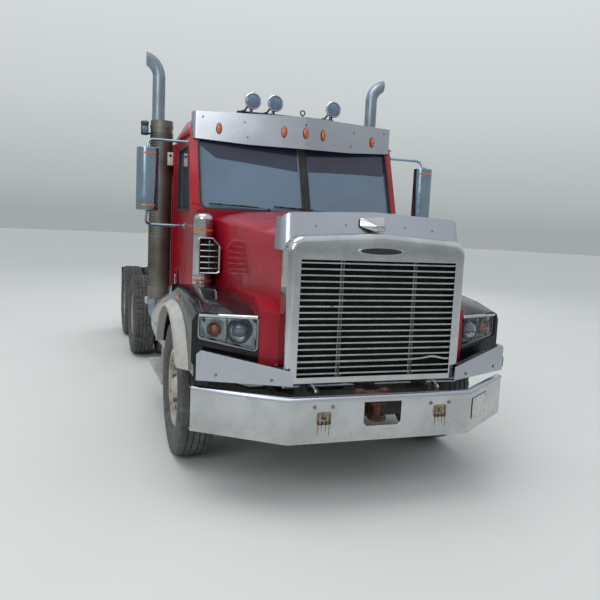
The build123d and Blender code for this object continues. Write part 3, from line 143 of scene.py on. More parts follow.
def finish(name, colour, rough=0.4, metallic=0.0, second=None, mottle=300, mottle_share=0.6, grain=None, wave=None,
           rough_var=(120, 0.1), dust=None, rust=None, streak=None, stretch=(1, 1, 1), **sockets):
    """A weathered surface. Sizes are in millimetres.
    second, mottle: the colour it varies to and the size of the clouds.
    grain: (size, depth) of the fine surface; stretch draws that grain out along an axis, as brushing does.
    wave: (size, depth) of the slow waviness of pressed sheet. rough_var: (size, how much) its gloss varies.
    dust: (colour, full below this height, none above that height, most), the heights in metres.
    rust: (colour, size of the patches, how much). streak: (colour, width, how much), run down by rain."""
    material, tree = blank_material(name)
    place = add(tree, "ShaderNodeTexCoord").outputs["Object"]

    def cloud(size, detail=4.0, roughness=0.55, scale=(1, 1, 1), shift=0.0):
        """Noise with clouds of that size. The shift keeps one layer's clouds off another's."""
        mapped = add(tree, "ShaderNodeMapping", {"Vector": place, "Scale": scale,
                                                 "Location": (shift, shift * 0.7, shift * 1.3)})
        return add(tree, "ShaderNodeTexNoise", {"Vector": mapped.outputs[0], "Scale": 1000 / size, "Detail": detail,
                                                "Roughness": roughness}).outputs["Fac"]

    def remap(value, low, high, to_low=0.0, to_high=1.0, kind="SMOOTHSTEP"):
        return add(tree, "ShaderNodeMapRange", {"Value": value, "From Min": low, "From Max": high, "To Min": to_low,
                                                "To Max": to_high}, interpolation_type=kind).outputs["Result"]

    shader = add(tree, "ShaderNodeBsdfPrincipled", {"Metallic": metallic, "Roughness": rough})
    paint, metal = linear(colour), metallic
    if second:
        paint = mixed(tree, remap(cloud(mottle), 0.35, 0.68, 0.0, mottle_share), paint, linear(second))
    vary_size, vary = rough_var
    roughness = remap(cloud(vary_size, 5.0, shift=3.1), 0.3, 0.7, max(rough - vary, 0.02), min(rough + vary, 1),
                      "LINEAR")
    if streak:
        tint, width, most = streak
        share = remap(cloud(width, 3.0, 0.5, (1, 1, 0.06), 5.7), 0.52, 0.72, 0.0, most)
        paint = mixed(tree, share, paint, linear(tint))
        roughness = maths(tree, "MULTIPLY_ADD", share, 0.25, roughness)
    if rust:
        tint, size, most = rust
        edge = 0.68 - 0.3 * most
        share = remap(cloud(size, 6.0, 0.65, shift=9.3), edge, edge + 0.06)
        paint = mixed(tree, share, paint, mixed(tree, cloud(12, 3.0, shift=1.9), linear(tint), linear("#5a3320")))
        roughness = mixed(tree, share, roughness, 0.85)
        if metallic:
            metal = mixed(tree, share, metal, 0.0)
    if dust:
        tint, full, none, most = dust
        height = add(tree, "ShaderNodeSeparateXYZ", {0: place}).outputs["Z"]
        patches = remap(cloud(90, 5.0, 0.6, shift=7.7), 0.3, 0.65, 0.25, 1.0, "LINEAR")
        share = maths(tree, "MULTIPLY", remap(height, full, none, most, 0.0), patches)
        paint = mixed(tree, share, paint, linear(tint))
        roughness = mixed(tree, share, roughness, 0.85)
        if metallic:
            metal = mixed(tree, share, metal, 0.1)
    for value, socket in ((paint, "Base Color"), (roughness, "Roughness"), (metal, "Metallic")):
        if isinstance(value, bpy.types.NodeSocket):
            tree.links.new(value, shader.inputs[socket])
        else:
            shader.inputs[socket].default_value = value
    normal = None
    for shape, scale, detail in ((wave, (1, 1, 1), 1.0), (grain, stretch, 4.0)):
        if shape:
            bump = {"Height": cloud(shape[0], detail, 0.5, scale, 2.3), "Distance": shape[1] / 1000, "Strength": 1.0}
            if normal:
                bump["Normal"] = normal
            normal = add(tree, "ShaderNodeBump", bump).outputs[0]
    if normal:
        tree.links.new(normal, shader.inputs["Normal"])
    for socket, value in sockets.items():
        shader.inputs[socket.replace("_", " ")].default_value = value
    add(tree, "ShaderNodeOutputMaterial", {"Surface": shader.outputs[0]})
    return material


finishes = {}


def make_finishes(paint):
    """Every finish of the truck, each named for the real material and how it was made, or for the light or shade that
    it paints.
    """
    dust_grey = "#8f8a7c"
    # Two-coat crimson enamel, sprayed: a deep red under a clear coat that has dulled and dusted over
    finishes["red"] = finish("crimson_enamel_sprayed", paint.cab_red, 0.34, second="#7a1023", mottle=420,
                             mottle_share=0.5, wave=(520, 0.25), dust=(dust_grey, 0.7, 1.5, 0.06), Coat_Weight=0.25,
                             Coat_Roughness=0.05, Specular_IOR_Level=0.2)
    # Black enamel, sprayed on moulded fenders: dark gloss, greyed by road dust lower down
    finishes["black"] = finish("black_enamel_sprayed", paint.fender_black, 0.2, second="#191b20", mottle=260,
                               wave=(420, 0.2), dust=(dust_grey, 0.6, 1.0, 0.05),
                               Coat_Weight=0.35, Coat_Roughness=0.03, Specular_IOR_Level=0.15)
    # Chrome plate over pressed steel: a mirror with a slow wave in it, splashed with dry mud
    finishes["chrome"] = finish("chrome_plated_steel", "#c3c5c7", 0.09, 1.0, second="#a9acae", mottle=200,
                                wave=(420, 0.9), rough_var=(60, 0.05), dust=("#83806f", 0.45, 0.7, 0.3))
    # Stainless sheet, polished: softer and a little bluer than chrome, wavy where it is bent
    finishes["stainless"] = finish("stainless_sheet_polished", "#b4b8c0", 0.27, 1.0, second="#a9adb5", mottle=500,
                                   wave=(420, 0.5), rough_var=(300, 0.05))
    # Stainless bar, drawn and brushed along its length: satin, browned where water stands
    finishes["bar"] = finish("stainless_bar_brushed", "#b9bcbc", 0.3, 1.0, second="#8f9291", mottle=160,
                             grain=(0.8, 0.02), stretch=(0.04, 1, 1), rough_var=(50, 0.1), rust=("#7b4a2c", 90, 0.02))
    # Aluminised exhaust tube, bent and welded: satin, with a blue-grey heat tint
    finishes["exhaust"] = finish("exhaust_tube_aluminised", "#8e99a6", 0.36, 0.9, second="#76808c", mottle=240,
                                 grain=(1.6, 0.03), rough_var=(60, 0.08), streak=("#5f5a52", 22, 0.25))
    # Mill-finish aluminium sheet, rolled: pale and dull with water marks and dust
    finishes["aluminium"] = finish("aluminium_sheet_weathered", "#c4c6c4", 0.42, 0.85, second="#9fa29f", mottle=180,
                                   grain=(1.5, 0.02), stretch=(1, 0.1, 1), wave=(300, 0.4),
                                   dust=("#9b9686", 0.3, 1.2, 0.45), streak=("#6f6c63", 30, 0.35))
    # Chassis black, brushed on over steel: satin, chipped to rust and caked with road dirt
    finishes["chassis"] = finish("chassis_paint_satin", "#26272a", 0.55, second="#3b3a38", mottle=140, grain=(3, 0.12),
                                 rough_var=(60, 0.15), rust=("#6d4029", 120, 0.14), dust=("#6e675a", 0.2, 1.2, 0.55))
    # Cast and forged iron of the driveline: rough from the mould, oily and dusty
    finishes["iron"] = finish("cast_iron_oiled", "#3a3a3c", 0.6, 0.3, second="#272523", mottle=110, grain=(2.5, 0.25),
                              rust=("#6b4630", 100, 0.1), dust=("#6b6456", 0.2, 1.3, 0.45))
    # Bare steel left out in the rain: flaking brown scale
    finishes["rusty"] = finish("steel_plate_rusted", "#6d4630", 0.85, 0.1, second="#3d2a20", mottle=45,
                               mottle_share=0.9, grain=(4, 0.5), rough_var=(30, 0.1))
    # Wheel paint, sprayed white over steel: chalky, stained with brake dust and rust runs
    finishes["wheel"] = finish("wheel_enamel_white", "#c4c1b4", 0.55, second="#87827a", mottle=110, mottle_share=0.7,
                               grain=(2, 0.05), rust=("#7a4a33", 70, 0.22), streak=("#5f4a3b", 26, 0.4),
                               dust=("#7f7a6e", 0.1, 0.9, 0.35))
    # Tyre tread compound, vulcanised: grey-black with dried mud in its low parts
    finishes["tyre"] = finish("tyre_rubber_vulcanised", "#2c2c2b", 0.82, second="#45433d", mottle=160,
                              grain=(2.2, 0.15), rough_var=(60, 0.1), dust=("#74767a", 0.0, 1.6, 0.55))
    # Window glass, laminated and tinted: its cool blue-grey is partly tint and partly a painted reflection of the sky,
    # over a dim cabin
    finishes["glass"] = finish("laminated_glass_tinted", "#67859f", 0.03, second="#4f6c86", mottle=900,
                               rough_var=(200, 0.02), Transmission_Weight=0.35, IOR=1.5, Coat_Weight=1.0,
                               Coat_Roughness=0.02)
    # Painted shade under the visor: a flat dark colour standing for the shade of its inner side and the header
    finishes["liner"] = finish("liner_paint_matt", "#22242a", 0.8, second="#2c2e34", mottle=120, grain=(2, 0.05))
    # Copper-tinted bowl of the turn lamp, lacquered over the reflector
    finishes["copper"] = finish("bowl_lacquered_copper", "#9c5f45", 0.25, 0.6, second="#7d4a38", mottle=40,
                                wave=(30, 0.3))
    # Road grease on the coupling's plate: black, thick and shiny
    finishes["grease"] = finish("grease_graphite", "#14120e", 0.5, second="#26221b", mottle=60, grain=(9, 0.5),
                                Specular_IOR_Level=0.3)
    # Engine castings, painted once and baked: dull grey-blue with oily dust
    finishes["engine"] = finish("engine_enamel_oiled", "#5a616a", 0.5, 0.1, second="#41464c", mottle=120,
                                grain=(3, 0.12), dust=("#6b6456", 0.4, 1.8, 0.35))
    # Reinforced hose, moulded and ribbed
    finishes["hose"] = finish("hose_rubber_moulded", "#151515", 0.55, second="#232220", mottle=60, grain=(3, 0.15))
    # Perforated heat-shield steel, rolled: once chromed, now browned by heat and smoke
    finishes["shield"] = finish("heat_shield_steel_browned", "#76756f", 0.48, 0.8, second="#56534c", mottle=220,
                                mottle_share=0.8, grain=(2, 0.06), rust=("#5f4535", 160, 0.14),
                                dust=("#7d766a", 1.0, 2.2, 0.35))
    # Painted shade: a flat black standing for the shade in holes and recesses, unlit
    finishes["dark"] = finish("soot_black_recess", "#101112", 0.9, second="#1a1918", mottle=40, grain=(3, 0.1))
    # Light rubber of the fender lips, extruded: pale grey, chalked by the sun
    finishes["flare"] = finish("extruded_rubber_grey", "#b4b4ae", 0.62, second="#96968f", mottle=120, grain=(1.5, 0.08),
                               dust=("#8c887b", 0.7, 1.3, 0.35))
    # Black rubber of seals, flaps and blades, moulded
    finishes["rubber"] = finish("moulded_rubber_black", "#1d1d1e", 0.7, second="#2f2e2c", mottle=90, grain=(2, 0.1),
                                dust=("#6a6458", 0.2, 1.1, 0.5))
    # Grained ABS of the dashboard and inner trim, moulded
    finishes["plastic"] = finish("abs_grained_grey", "#3d3e41", 0.6, second="#333437", mottle=200, grain=(2.2, 0.14))
    # Woven seat cloth over foam, dark grey
    finishes["cloth"] = finish("seat_cloth_woven", "#34363b", 0.9, second="#27292e", mottle=30, grain=(2.6, 0.3),
                               Sheen_Weight=0.25)
    # Headlamp reflector, vacuum-metallised plastic: a bright bowl
    finishes["reflector"] = finish("reflector_metallised", "#8b9298", 0.14, 1.0, second="#6c7379", mottle=60,
                                   wave=(40, 0.4))
    # Headlamp bezel and bulb hoods, black moulded plastic
    finishes["lamp_black"] = finish("lamp_body_moulded", "#1b1c1e", 0.35, second="#2a2b2d", mottle=80,
                                    grain=(1.5, 0.03))
    # Clear lamp lens, polycarbonate, slightly hazed
    finishes["lens"] = finish("polycarbonate_lens_clear", "#f4f7f8", 0.03, Transmission_Weight=1.0, IOR=1.3)
    # Work-lamp glass, pressed and ribbed over a dark bowl: its blue is a painted reflection of the sky
    finishes["lamp_glass"] = finish("pressed_lamp_glass", "#5f7896", 0.12, second="#475a74", mottle=40, grain=(7, 0.2),
                                    stretch=(1, 1, 0.1), Coat_Weight=1.0, Coat_Roughness=0.03)
    # Amber marker lens, ribbed polycarbonate
    finishes["amber"] = finish("polycarbonate_lens_amber", "#cf6a30", 0.2, second="#a8481c", mottle=20, grain=(4, 0.15),
                               stretch=(1, 1, 0.1), Coat_Weight=0.6, Coat_Roughness=0.05)
    # Red tail lens, ribbed polycarbonate
    finishes["red_lens"] = finish("polycarbonate_lens_red", "#93141a", 0.2, second="#6e0d12", mottle=20,
                                  grain=(4, 0.15), Coat_Weight=0.6, Coat_Roughness=0.05)
    # Painted reflection at the head of the windscreen: a dark blue band standing for the visor's dark underside
    # mirrored in the glass
    finishes["tint"] = finish("ceramic_band_printed", "#2c3144", 0.1, second="#353b50", mottle=300)
    # Rust water dried on chrome: a thin brown film
    finishes["stain"] = finish("rust_film_on_chrome", "#86745a", 0.35, 0.75, second="#9b9a90", mottle=22,
                               mottle_share=0.9, grain=(3, 0.05))
    # Zinc-plated bolt heads, dulled
    finishes["bolt"] = finish("zinc_plated_steel", "#8e8f8d", 0.38, 0.9, second="#6e6a62", mottle=30, grain=(1, 0.03),
                              rust=("#70452e", 60, 0.12))
    # Mirror housings, pressed and plated: their cool blue is a painted reflection of the sky, a mirror towards the road
    # ahead
    finishes["housing"] = finish("mirror_housing_plated", "#8fa3b3", 0.16, 1.0, second="#7b8fa0", mottle=260,
                                 wave=(200, 0.5))
    # Mirror glass, silvered
    finishes["mirror"] = finish("silvered_glass", "#cfd6da", 0.03, 1.0, second="#c3cacf", mottle=300,
                                rough_var=(80, 0.01))
    # Plate blank, painted white and weathered
    finishes["plate"] = finish("plate_blank_painted", "#c9cbc6", 0.5, second="#a9aca8", mottle=60, grain=(1.2, 0.02))


# --- Meshes, drawn in millimetres: x to the truck's left, y back from the bumper's face, z up ------

def slab(bm, xs, ys, zs, edge=2.0, paint=0, turn=None, steps=2):
    """A block with rounded edges between two corners, turned about its middle where it is given a turn."""
    spans = (xs, ys, zs)
    middle = Vector([(a + b) / 2 for a, b in spans])
    place = Matrix.Translation(middle) @ (turn or Matrix.Identity(4)) @ Matrix.Diagonal((*[b - a for a, b in spans], 1))
    made = bmesh.ops.create_cube(bm, size=1, matrix=place)
    for face in {f for v in made["verts"] for f in v.link_faces}:
        face.material_index = paint
    if edge:
        edges = list({e for v in made["verts"] for e in v.link_edges})
        bmesh.ops.bevel(bm, geom=edges, offset=edge, segments=steps, affect="EDGES", profile=0.5)


def skin(bm, rows, paint=0, around=True, closed=False, ends=()):
    """Joins rows of points into faces. A row of one point is a pole, around joins each row's last point to its first,
    closed joins the last row to the first, and ends holds the paints of faces over the first and the last row."""
    rows = [[bm.verts.new(point) for point in row] for row in rows]
    for a, b in zip(rows, rows[1:] + (rows[:1] if closed else [])):
        count = max(len(a), len(b))
        for i in range(count if around else count - 1):
            j = (i + 1) % count
            if len(a) == 1:
                corners = (a[0], b[j], b[i])
            elif len(b) == 1:
                corners = (a[i], a[j], b[0])
            else:
                corners = (a[i], a[j], b[j], b[i])
            bm.faces.new(corners).material_index = paint
    for row, cap in zip((rows[0], rows[-1]), ends):
        bm.faces.new(row).material_index = cap


def oval(half_u, half_v, steps=40):
    """The points of an ellipse about the middle, as (u, v)."""
    return [(half_u * cos(2 * pi * i / steps), half_v * sin(2 * pi * i / steps)) for i in range(steps)]


def turned(bm, profile, centre, facing, steps=32, paint=0):
    """A body turned about a line through centre, from (distance along, radius) points. facing: "y", "z" or a vector."""
    turns = {"y": Matrix.Rotation(-pi / 2, 3, "X"), "z": Matrix.Identity(3)}
    turn = turns[facing] if isinstance(facing, str) else Vector(facing).to_track_quat("Z", "Y").to_matrix()
    rows = [[Vector(centre) + turn @ Vector((u, v, along)) for u, v in oval(radius, radius, steps if radius else 1)]
            for along, radius in profile]
    skin(bm, rows, paint, ends=(paint, paint) if len(rows[0]) > 1 and len(rows[-1]) > 1 else ())


def rounded_path(points, bend, steps=6):
    """The points with each corner drawn as an arc of that radius."""
    points = [Vector(p) for p in points]
    path = [points[0]]
    for before, corner, after in zip(points, points[1:], points[2:]):
        a, b = (before - corner).normalized(), (after - corner).normalized()
        angle = a.angle(b)
        if bend <= 0 or angle > pi - 0.02:
            path.append(corner)
            continue
        slope = sin(angle / 2) / cos(angle / 2)
        reach = min(bend / max(slope, 1e-3), 0.49 * min((before - corner).length, (after - corner).length))
        radius = reach * slope
        centre = corner + (a + b).normalized() * (radius / sin(angle / 2))
        start, end = corner + a * reach, corner + b * reach
        for i in range(steps + 1):
            way = (start - centre).slerp(end - centre, i / steps).normalized()
            path.append(centre + way * radius)
    path.append(points[-1])
    return path


def tube(bm, points, radius, bend=0.0, steps=12, paint=0, section=None):
    """A rod or tube along a path. section gives an outline in place of a circle; radius may be one for each point."""
    path = rounded_path(points, bend)
    rows, side = [], None
    for i, at in enumerate(path):
        ahead = (path[min(i + 1, len(path) - 1)] - path[max(i - 1, 0)]).normalized()
        if side is None:
            side = (ahead.orthogonal() if abs(ahead.z) > 0.95 else ahead.cross(Vector(UP))).normalized()
        side = (side - ahead * side.dot(ahead)).normalized()
        up = side.cross(ahead)
        size = radius[i] if isinstance(radius, (list, tuple)) else radius
        rows.append([at + side * (u * size) + up * (v * size) for u, v in section or oval(1, 1, steps)])
    skin(bm, rows, paint, ends=(paint, paint))


def plate_shape(bm, outline, origin, along, up, depth, edge=0.0, paint=0, steps=2):
    """A flat outline of (u, v) points in the plane of two directions, given a thickness behind it."""
    origin, along, up = Vector(origin), Vector(along).normalized(), Vector(up).normalized()
    back = along.cross(up) * -depth
    front = [bm.verts.new(origin + along * u + up * v) for u, v in outline]
    rear = [bm.verts.new(v.co + back) for v in front]
    faces = [bm.faces.new(front), bm.faces.new(rear[::-1])]
    for i in range(len(front)):
        j = (i + 1) % len(front)
        faces.append(bm.faces.new((front[j], front[i], rear[i], rear[j])))
    for face in faces:
        face.material_index = paint
    if edge:
        bmesh.ops.bevel(bm, geom=list(faces[0].edges), offset=edge, segments=steps, affect="EDGES", profile=0.5)


def ring_frame(bm, outer, inner, facing, proud, depth, paint=0):
    """A closed frame between two outlines of as many points, standing proud along facing and set in by depth."""
    out, back = Vector(facing).normalized() * proud, Vector(facing).normalized() * -depth
    rows = [[Vector(a) + out, Vector(b) + out, Vector(b) + back, Vector(a) + back] for a, b in zip(outer, inner)]
    skin(bm, rows, paint, closed=True)


def inset(outline, by):
    """A closed flat outline of (u, v) points moved inwards by that much at every corner."""
    area = sum(a[0] * b[1] - b[0] * a[1] for a, b in zip(outline, outline[1:] + outline[:1]))
    turn = 1 if area > 0 else -1
    moved = []
    for before, at, after in zip(outline[-1:] + outline[:-1], outline, outline[1:] + outline[:1]):
        a = Vector((at[0] - before[0], at[1] - before[1])).normalized()
        b = Vector((after[0] - at[0], after[1] - at[1])).normalized()
        mid = Vector((-(a.y + b.y), a.x + b.x)) * turn
        reach = by / max(mid.normalized().dot(Vector((-a.y, a.x)) * turn), 0.35)
        moved.append((at[0] + mid.normalized().x * reach, at[1] + mid.normalized().y * reach))
    return moved


def filleted(outline, bends, steps=5):
    """A closed outline of (u, v) points with its corners rounded, each by its own radius."""
    points = []
    for n, at in enumerate(outline):
        before, after = outline[n - 1], outline[(n + 1) % len(outline)]
        bend = bends[n] if isinstance(bends, (list, tuple)) else bends
        arc = rounded_path([(*before, 0), (*at, 0), (*after, 0)], bend, steps)[1:-1]
        points += [(p.x, p.y) for p in arc]
    return points


def round_outline(half_u, half_v, corner, steps=5):
    """A rectangle about the middle with rounded corners, as (u, v) points."""
    points = []
    for k, (su, sv) in enumerate(((1, 1), (-1, 1), (-1, -1), (1, -1))):
        for i in range(steps + 1):
            angle = (k + i / steps) * pi / 2
            points.append((su * (half_u - corner) + corner * cos(angle), sv * (half_v - corner) + corner * sin(angle)))
    return points


def mirrored(bm):
    """Adds the twin of everything on the truck's other side."""
    twin = bmesh.ops.duplicate(bm, geom=list(bm.verts) + list(bm.edges) + list(bm.faces))["geom"]
    for vert in (v for v in twin if isinstance(v, bmesh.types.BMVert)):
        vert.co.x = -vert.co.x
    bmesh.ops.reverse_faces(bm, faces=[f for f in twin if isinstance(f, bmesh.types.BMFace)])


def piece(name, bm, paints, body="chassis", angle=32.0):
    """Writes the drawn mesh as a finished piece in metres, with its finishes, and sets it on its body."""
    bmesh.ops.remove_doubles(bm, verts=bm.verts, dist=0.02)
    bmesh.ops.recalc_face_normals(bm, faces=bm.faces)
    for vert in bm.verts:
        vert.co = Vector((vert.co.x / 1000, vert.co.y / 1000 - HALF_LENGTH, vert.co.z / 1000))
    mesh = bpy.data.meshes.new(name)
    bm.to_mesh(mesh)
    bm.free()
    return set_piece(name, mesh, paints, body, angle)


def set_piece(name, mesh, paints, body, angle):
    """Sets a mesh on its body, with smooth faces that break where they meet at more than the angle."""
    for paint in [paints] if isinstance(paints, str) else paints:
        mesh.materials.append(finishes[paint])
    mesh.polygons.foreach_set("use_smooth", [True] * len(mesh.polygons))
    mesh.set_sharp_from_angle(angle=radians(angle))
    obj = bpy.data.objects.new(name, mesh)
    bpy.context.scene.collection.objects.link(obj)
    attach(obj, body)
    return obj


def softened(node, paint, body, edge):
    """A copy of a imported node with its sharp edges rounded, as pressed sheet and mouldings are."""
    bm = bmesh.new()
    bm.from_mesh(frame["nodes"][node].data)
    bmesh.ops.remove_doubles(bm, verts=bm.verts, dist=2e-5)
    bmesh.ops.dissolve_limit(bm, angle_limit=radians(0.6), verts=bm.verts, edges=bm.edges)
    mesh = bpy.data.meshes.new(node + "_soft")
    bm.to_mesh(mesh)
    bm.free()
    for name in [a.name for a in mesh.attributes if a.name in ("custom_normal", "UVMap")]:
        mesh.attributes.remove(mesh.attributes[name])
    mesh.materials.clear()
    obj = set_piece(node + "_soft", mesh, paint, body, 30)
    bevel = obj.modifiers.new("Rounded edges", "BEVEL")
    bevel.width, bevel.segments, bevel.limit_method = edge / 1000, 2, "ANGLE"
    bevel.angle_limit, bevel.harden_normals, bevel.use_clamp_overlap = radians(38), True, True
    bevel.miter_outer = "MITER_ARC"
    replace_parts(obj, node)


# --- Geometry Nodes ----------------------------------------------------------------------------

def new_tree(name, inputs):
    """An empty tree with its named inputs: (name, kind, default)."""
    tree = bpy.data.node_groups.new(name, "GeometryNodeTree")
    tree.interface.new_socket("Geometry", in_out="INPUT", socket_type="NodeSocketGeometry")
    for label, kind, default in inputs:
        socket = tree.interface.new_socket(label, in_out="INPUT", socket_type="NodeSocket" + kind)
        if default is not None:
            socket.default_value = default
    tree.interface.new_socket("Geometry", in_out="OUTPUT", socket_type="NodeSocketGeometry")
    return tree, add(tree, "NodeGroupInput").outputs


def close_tree(tree, geometry, material):
    """Ends a tree in Realize Instances and Set Material."""
    real = add(tree, "GeometryNodeRealizeInstances", {0: geometry}).outputs[0]
    painted = add(tree, "GeometryNodeSetMaterial", {"Geometry": real, "Material": material}).outputs[0]
    add(tree, "NodeGroupOutput", {0: painted})
    return tree


def instanced(tree, given, shape, points=None, facing=None, axis="Z"):
    """The shape at each point, with its axis turned along the direction that the point faces."""
    if facing is None:
        facing = add(tree, "GeometryNodeInputNamedAttribute", {"Name": "facing"}, data_type="FLOAT_VECTOR").outputs[0]
    turn = add(tree, "FunctionNodeAlignRotationToVector", {"Vector": facing}, axis=axis).outputs[0]
    return add(tree, "GeometryNodeInstanceOnPoints", {"Points": points or given["Geometry"], "Instance": shape,
                                                      "Rotation": turn}).outputs[0]


def bolts_tree():
    """A hexagon head on a washer at each point, standing along its facing direction."""
    tree, given = new_tree("Bolt heads", (("Head radius", "Float", 0.01), ("Head height", "Float", 0.008),
                                          ("Washer radius", "Float", 0.014), ("Sides", "Int", 6),
                                          ("Finish", "Material", None)))
    head = add(tree, "GeometryNodeMeshCylinder", {"Vertices": given["Sides"], "Radius": given["Head radius"],
                                                  "Depth": given["Head height"]}).outputs["Mesh"]
    half = maths(tree, "MULTIPLY", given["Head height"], 0.5)
    up = add(tree, "ShaderNodeCombineXYZ", {"Z": half}).outputs[0]
    head = add(tree, "GeometryNodeTransform", {"Geometry": head, "Translation": up}).outputs[0]
    washer = add(tree, "GeometryNodeMeshCylinder", {"Vertices": 12, "Radius": given["Washer radius"], "Depth": half})
    both = add(tree, "GeometryNodeJoinGeometry")
    tree.links.new(head, both.inputs[0])
    tree.links.new(washer.outputs["Mesh"], both.inputs[0])
    return close_tree(tree, instanced(tree, given, both.outputs[0]), given["Finish"])


def slats_tree():
    """A rounded slat lying along X, or a raised lug where it is short, at each point; facing turns it about Z."""
    tree, given = new_tree("Slats", (("Length", "Float", 1.0), ("Height", "Float", 0.013), ("Depth", "Float", 0.02),
                                     ("Round", "Float", 0.004), ("Finish", "Material", None)))
    half = maths(tree, "MULTIPLY", given["Length"], 0.5)
    start, end = [add(tree, "ShaderNodeCombineXYZ", {"X": x}).outputs[0]
                  for x in (maths(tree, "MULTIPLY", half, -1.0), half)]
    line = add(tree, "GeometryNodeCurvePrimitiveLine", {"Start": start, "End": end}).outputs[0]
    section = add(tree, "GeometryNodeCurvePrimitiveQuadrilateral", {"Width": given["Depth"],
                                                                    "Height": given["Height"]}).outputs[0]
    section = add(tree, "GeometryNodeFilletCurve", {"Curve": section, "Radius": given["Round"], "Limit Radius": True,
                                                    "Count": 3}, mode="POLY").outputs[0]
    slat = add(tree, "GeometryNodeCurveToMesh", {"Curve": line, "Profile Curve": section, "Fill Caps": True}).outputs[0]
    return close_tree(tree, instanced(tree, given, slat, axis="X"), given["Finish"])


def perforation_tree():
    """Discs of painted shade for holes, in staggered rows round a shield: a flat grid is rolled up about the carrier's
    point.
    """
    tree, given = new_tree("Perforated shield", (("Pitch", "Float", 0.02), ("Hole radius", "Float", 0.006),
                                                 ("Height", "Float", 1.5), ("Shield radius", "Float", 0.11),
                                                 ("Finish", "Material", None)))
    girth = maths(tree, "MULTIPLY", given["Shield radius"], 2 * pi)
    columns = maths(tree, "ROUND", maths(tree, "DIVIDE", girth, given["Pitch"]))
    rows = maths(tree, "DIVIDE", given["Height"], given["Pitch"])
    grid = add(tree, "GeometryNodeMeshGrid", {"Size X": 1.0, "Size Y": 1.0, "Vertices X": columns, "Vertices Y": rows})
    at = add(tree, "ShaderNodeSeparateXYZ", {0: add(tree, "GeometryNodeInputPosition").outputs[0]}).outputs
    row = maths(tree, "ROUND", maths(tree, "MULTIPLY", at["Y"], rows))
    stagger = maths(tree, "DIVIDE", maths(tree, "MULTIPLY", row, pi), columns)
    share = maths(tree, "DIVIDE", maths(tree, "SUBTRACT", columns, 1.0), columns)
    turn = maths(tree, "MULTIPLY_ADD", maths(tree, "MULTIPLY", at["X"], share), 2 * pi, stagger)
    x, y = [maths(tree, "MULTIPLY", maths(tree, kind, turn), given["Shield radius"]) for kind in ("COSINE", "SINE")]
    z = maths(tree, "MULTIPLY", at["Y"], given["Height"])
    wrapped = add(tree, "ShaderNodeCombineXYZ", {"X": x, "Y": y, "Z": z}).outputs[0]
    laid = add(tree, "GeometryNodeSetPosition", {"Geometry": grid.outputs[0], "Position": wrapped}).outputs[0]
    hole = add(tree, "GeometryNodeMeshCircle", {"Vertices": 8, "Radius": given["Hole radius"]},
               fill_type="NGON").outputs[0]
    placed = instanced(tree, given, hole, laid, add(tree, "ShaderNodeCombineXYZ", {"X": x, "Y": y}).outputs[0])
    real = add(tree, "GeometryNodeRealizeInstances", {0: placed}).outputs[0]
    there = add(tree, "GeometryNodeInputPosition").outputs[0]
    carried = add(tree, "GeometryNodeAttributeStatistic", {"Geometry": given["Geometry"], "Attribute": there},
                  data_type="FLOAT_VECTOR").outputs["Mean"]
    moved = add(tree, "GeometryNodeTransform", {"Geometry": real, "Translation": carried}).outputs[0]
    return close_tree(tree, moved, given["Finish"])


def run_tree(name, tree, mesh, values, body, angle=32.0):
    """Evaluates a tree on a carrier mesh with its inputs set by identifier, and keeps the result as a plain piece."""
    carrier = bpy.data.objects.new(name + "_carrier", mesh)
    bpy.context.scene.collection.objects.link(carrier)
    modifier = carrier.modifiers.new("Pattern", "NODES")
    modifier.node_group = tree
    for label, value in values.items():
        modifier[tree.interface.items_tree[label].identifier] = finishes[value] if label == "Finish" else value
    bpy.context.view_layer.update()
    made = bpy.data.meshes.new_from_object(carrier.evaluated_get(bpy.context.evaluated_depsgraph_get()))
    made.name = name
    bpy.data.objects.remove(carrier)
    for attribute in [a.name for a in made.attributes if a.name in ("facing", "UVMap")]:
        made.attributes.remove(made.attributes[attribute])
    return set_piece(name, made, (), body, angle)


def points_mesh(name, places):
    """A mesh of bare points, each with the direction that it faces, from ((x, y, z), facing) in millimetres."""
    mesh = bpy.data.meshes.new(name)
    mesh.from_pydata([(x / 1000, y / 1000 - HALF_LENGTH, z / 1000) for (x, y, z), _ in places], [], [])
    facing = mesh.attributes.new("facing", "FLOAT_VECTOR", "POINT")
    facing.data.foreach_set("vector", [c for _, way in places for c in Vector(way).normalized()])
    return mesh


def bolts(name, places, head, high, washer, sides, paint, body, slot):
    """Bolt heads at (place, way they stand), in millimetres, all of one size."""
    tree = bpy.data.node_groups.get("Bolt heads") or bolts_tree()
    values = {"Head radius": head / 1000, "Head height": high / 1000, "Washer radius": washer / 1000, "Sides": sides}
    return run_tree(name, tree, points_mesh(name, places), {**values, "Finish": paint}, body)


def slats(name, places, length, height, depth, bend, paint, body):
    """Slats or lugs at (place, way they lie), in millimetres, all of one size."""
    tree = bpy.data.node_groups.get("Slats") or slats_tree()
    values = {"Length": length / 1000, "Height": height / 1000, "Depth": depth / 1000, "Round": bend / 1000}
    return run_tree(name, tree, points_mesh(name, places), {**values, "Finish": paint}, body, 40)


def both_sides(places):
    """The places and their twins on the truck's other side."""
    return [*places, *[((-x, y, z), (-a, b, c)) for (x, y, z), (a, b, c) in places]]


# --- Sizes and colours that a user may change -----------------------------------------------------

class PaintColours(bpy.types.PropertyGroup):
    cab_red: StringProperty(name="Cab red", description="sRGB hex colour of the cab and hood", default="#a00a22")
    fender_black: StringProperty(name="Fender black", description="sRGB hex colour of the front fenders",
                                 default="#0b0c0f")
    floor_grey: StringProperty(name="Floor", description="sRGB hex colour of the studio floor", default="#cfd0cd")


class TyreSizes(bpy.types.PropertyGroup):
    groove: FloatProperty(name="Groove depth", description="Depth of the tread grooves", default=0.012, unit="LENGTH")
    rib_pitches: IntProperty(name="Front pitches", description="Tread pitches round a front tyre", default=60, min=12)
    lug_pitches: IntProperty(name="Drive pitches", description="Tread pitches round a drive tyre", default=44, min=12)


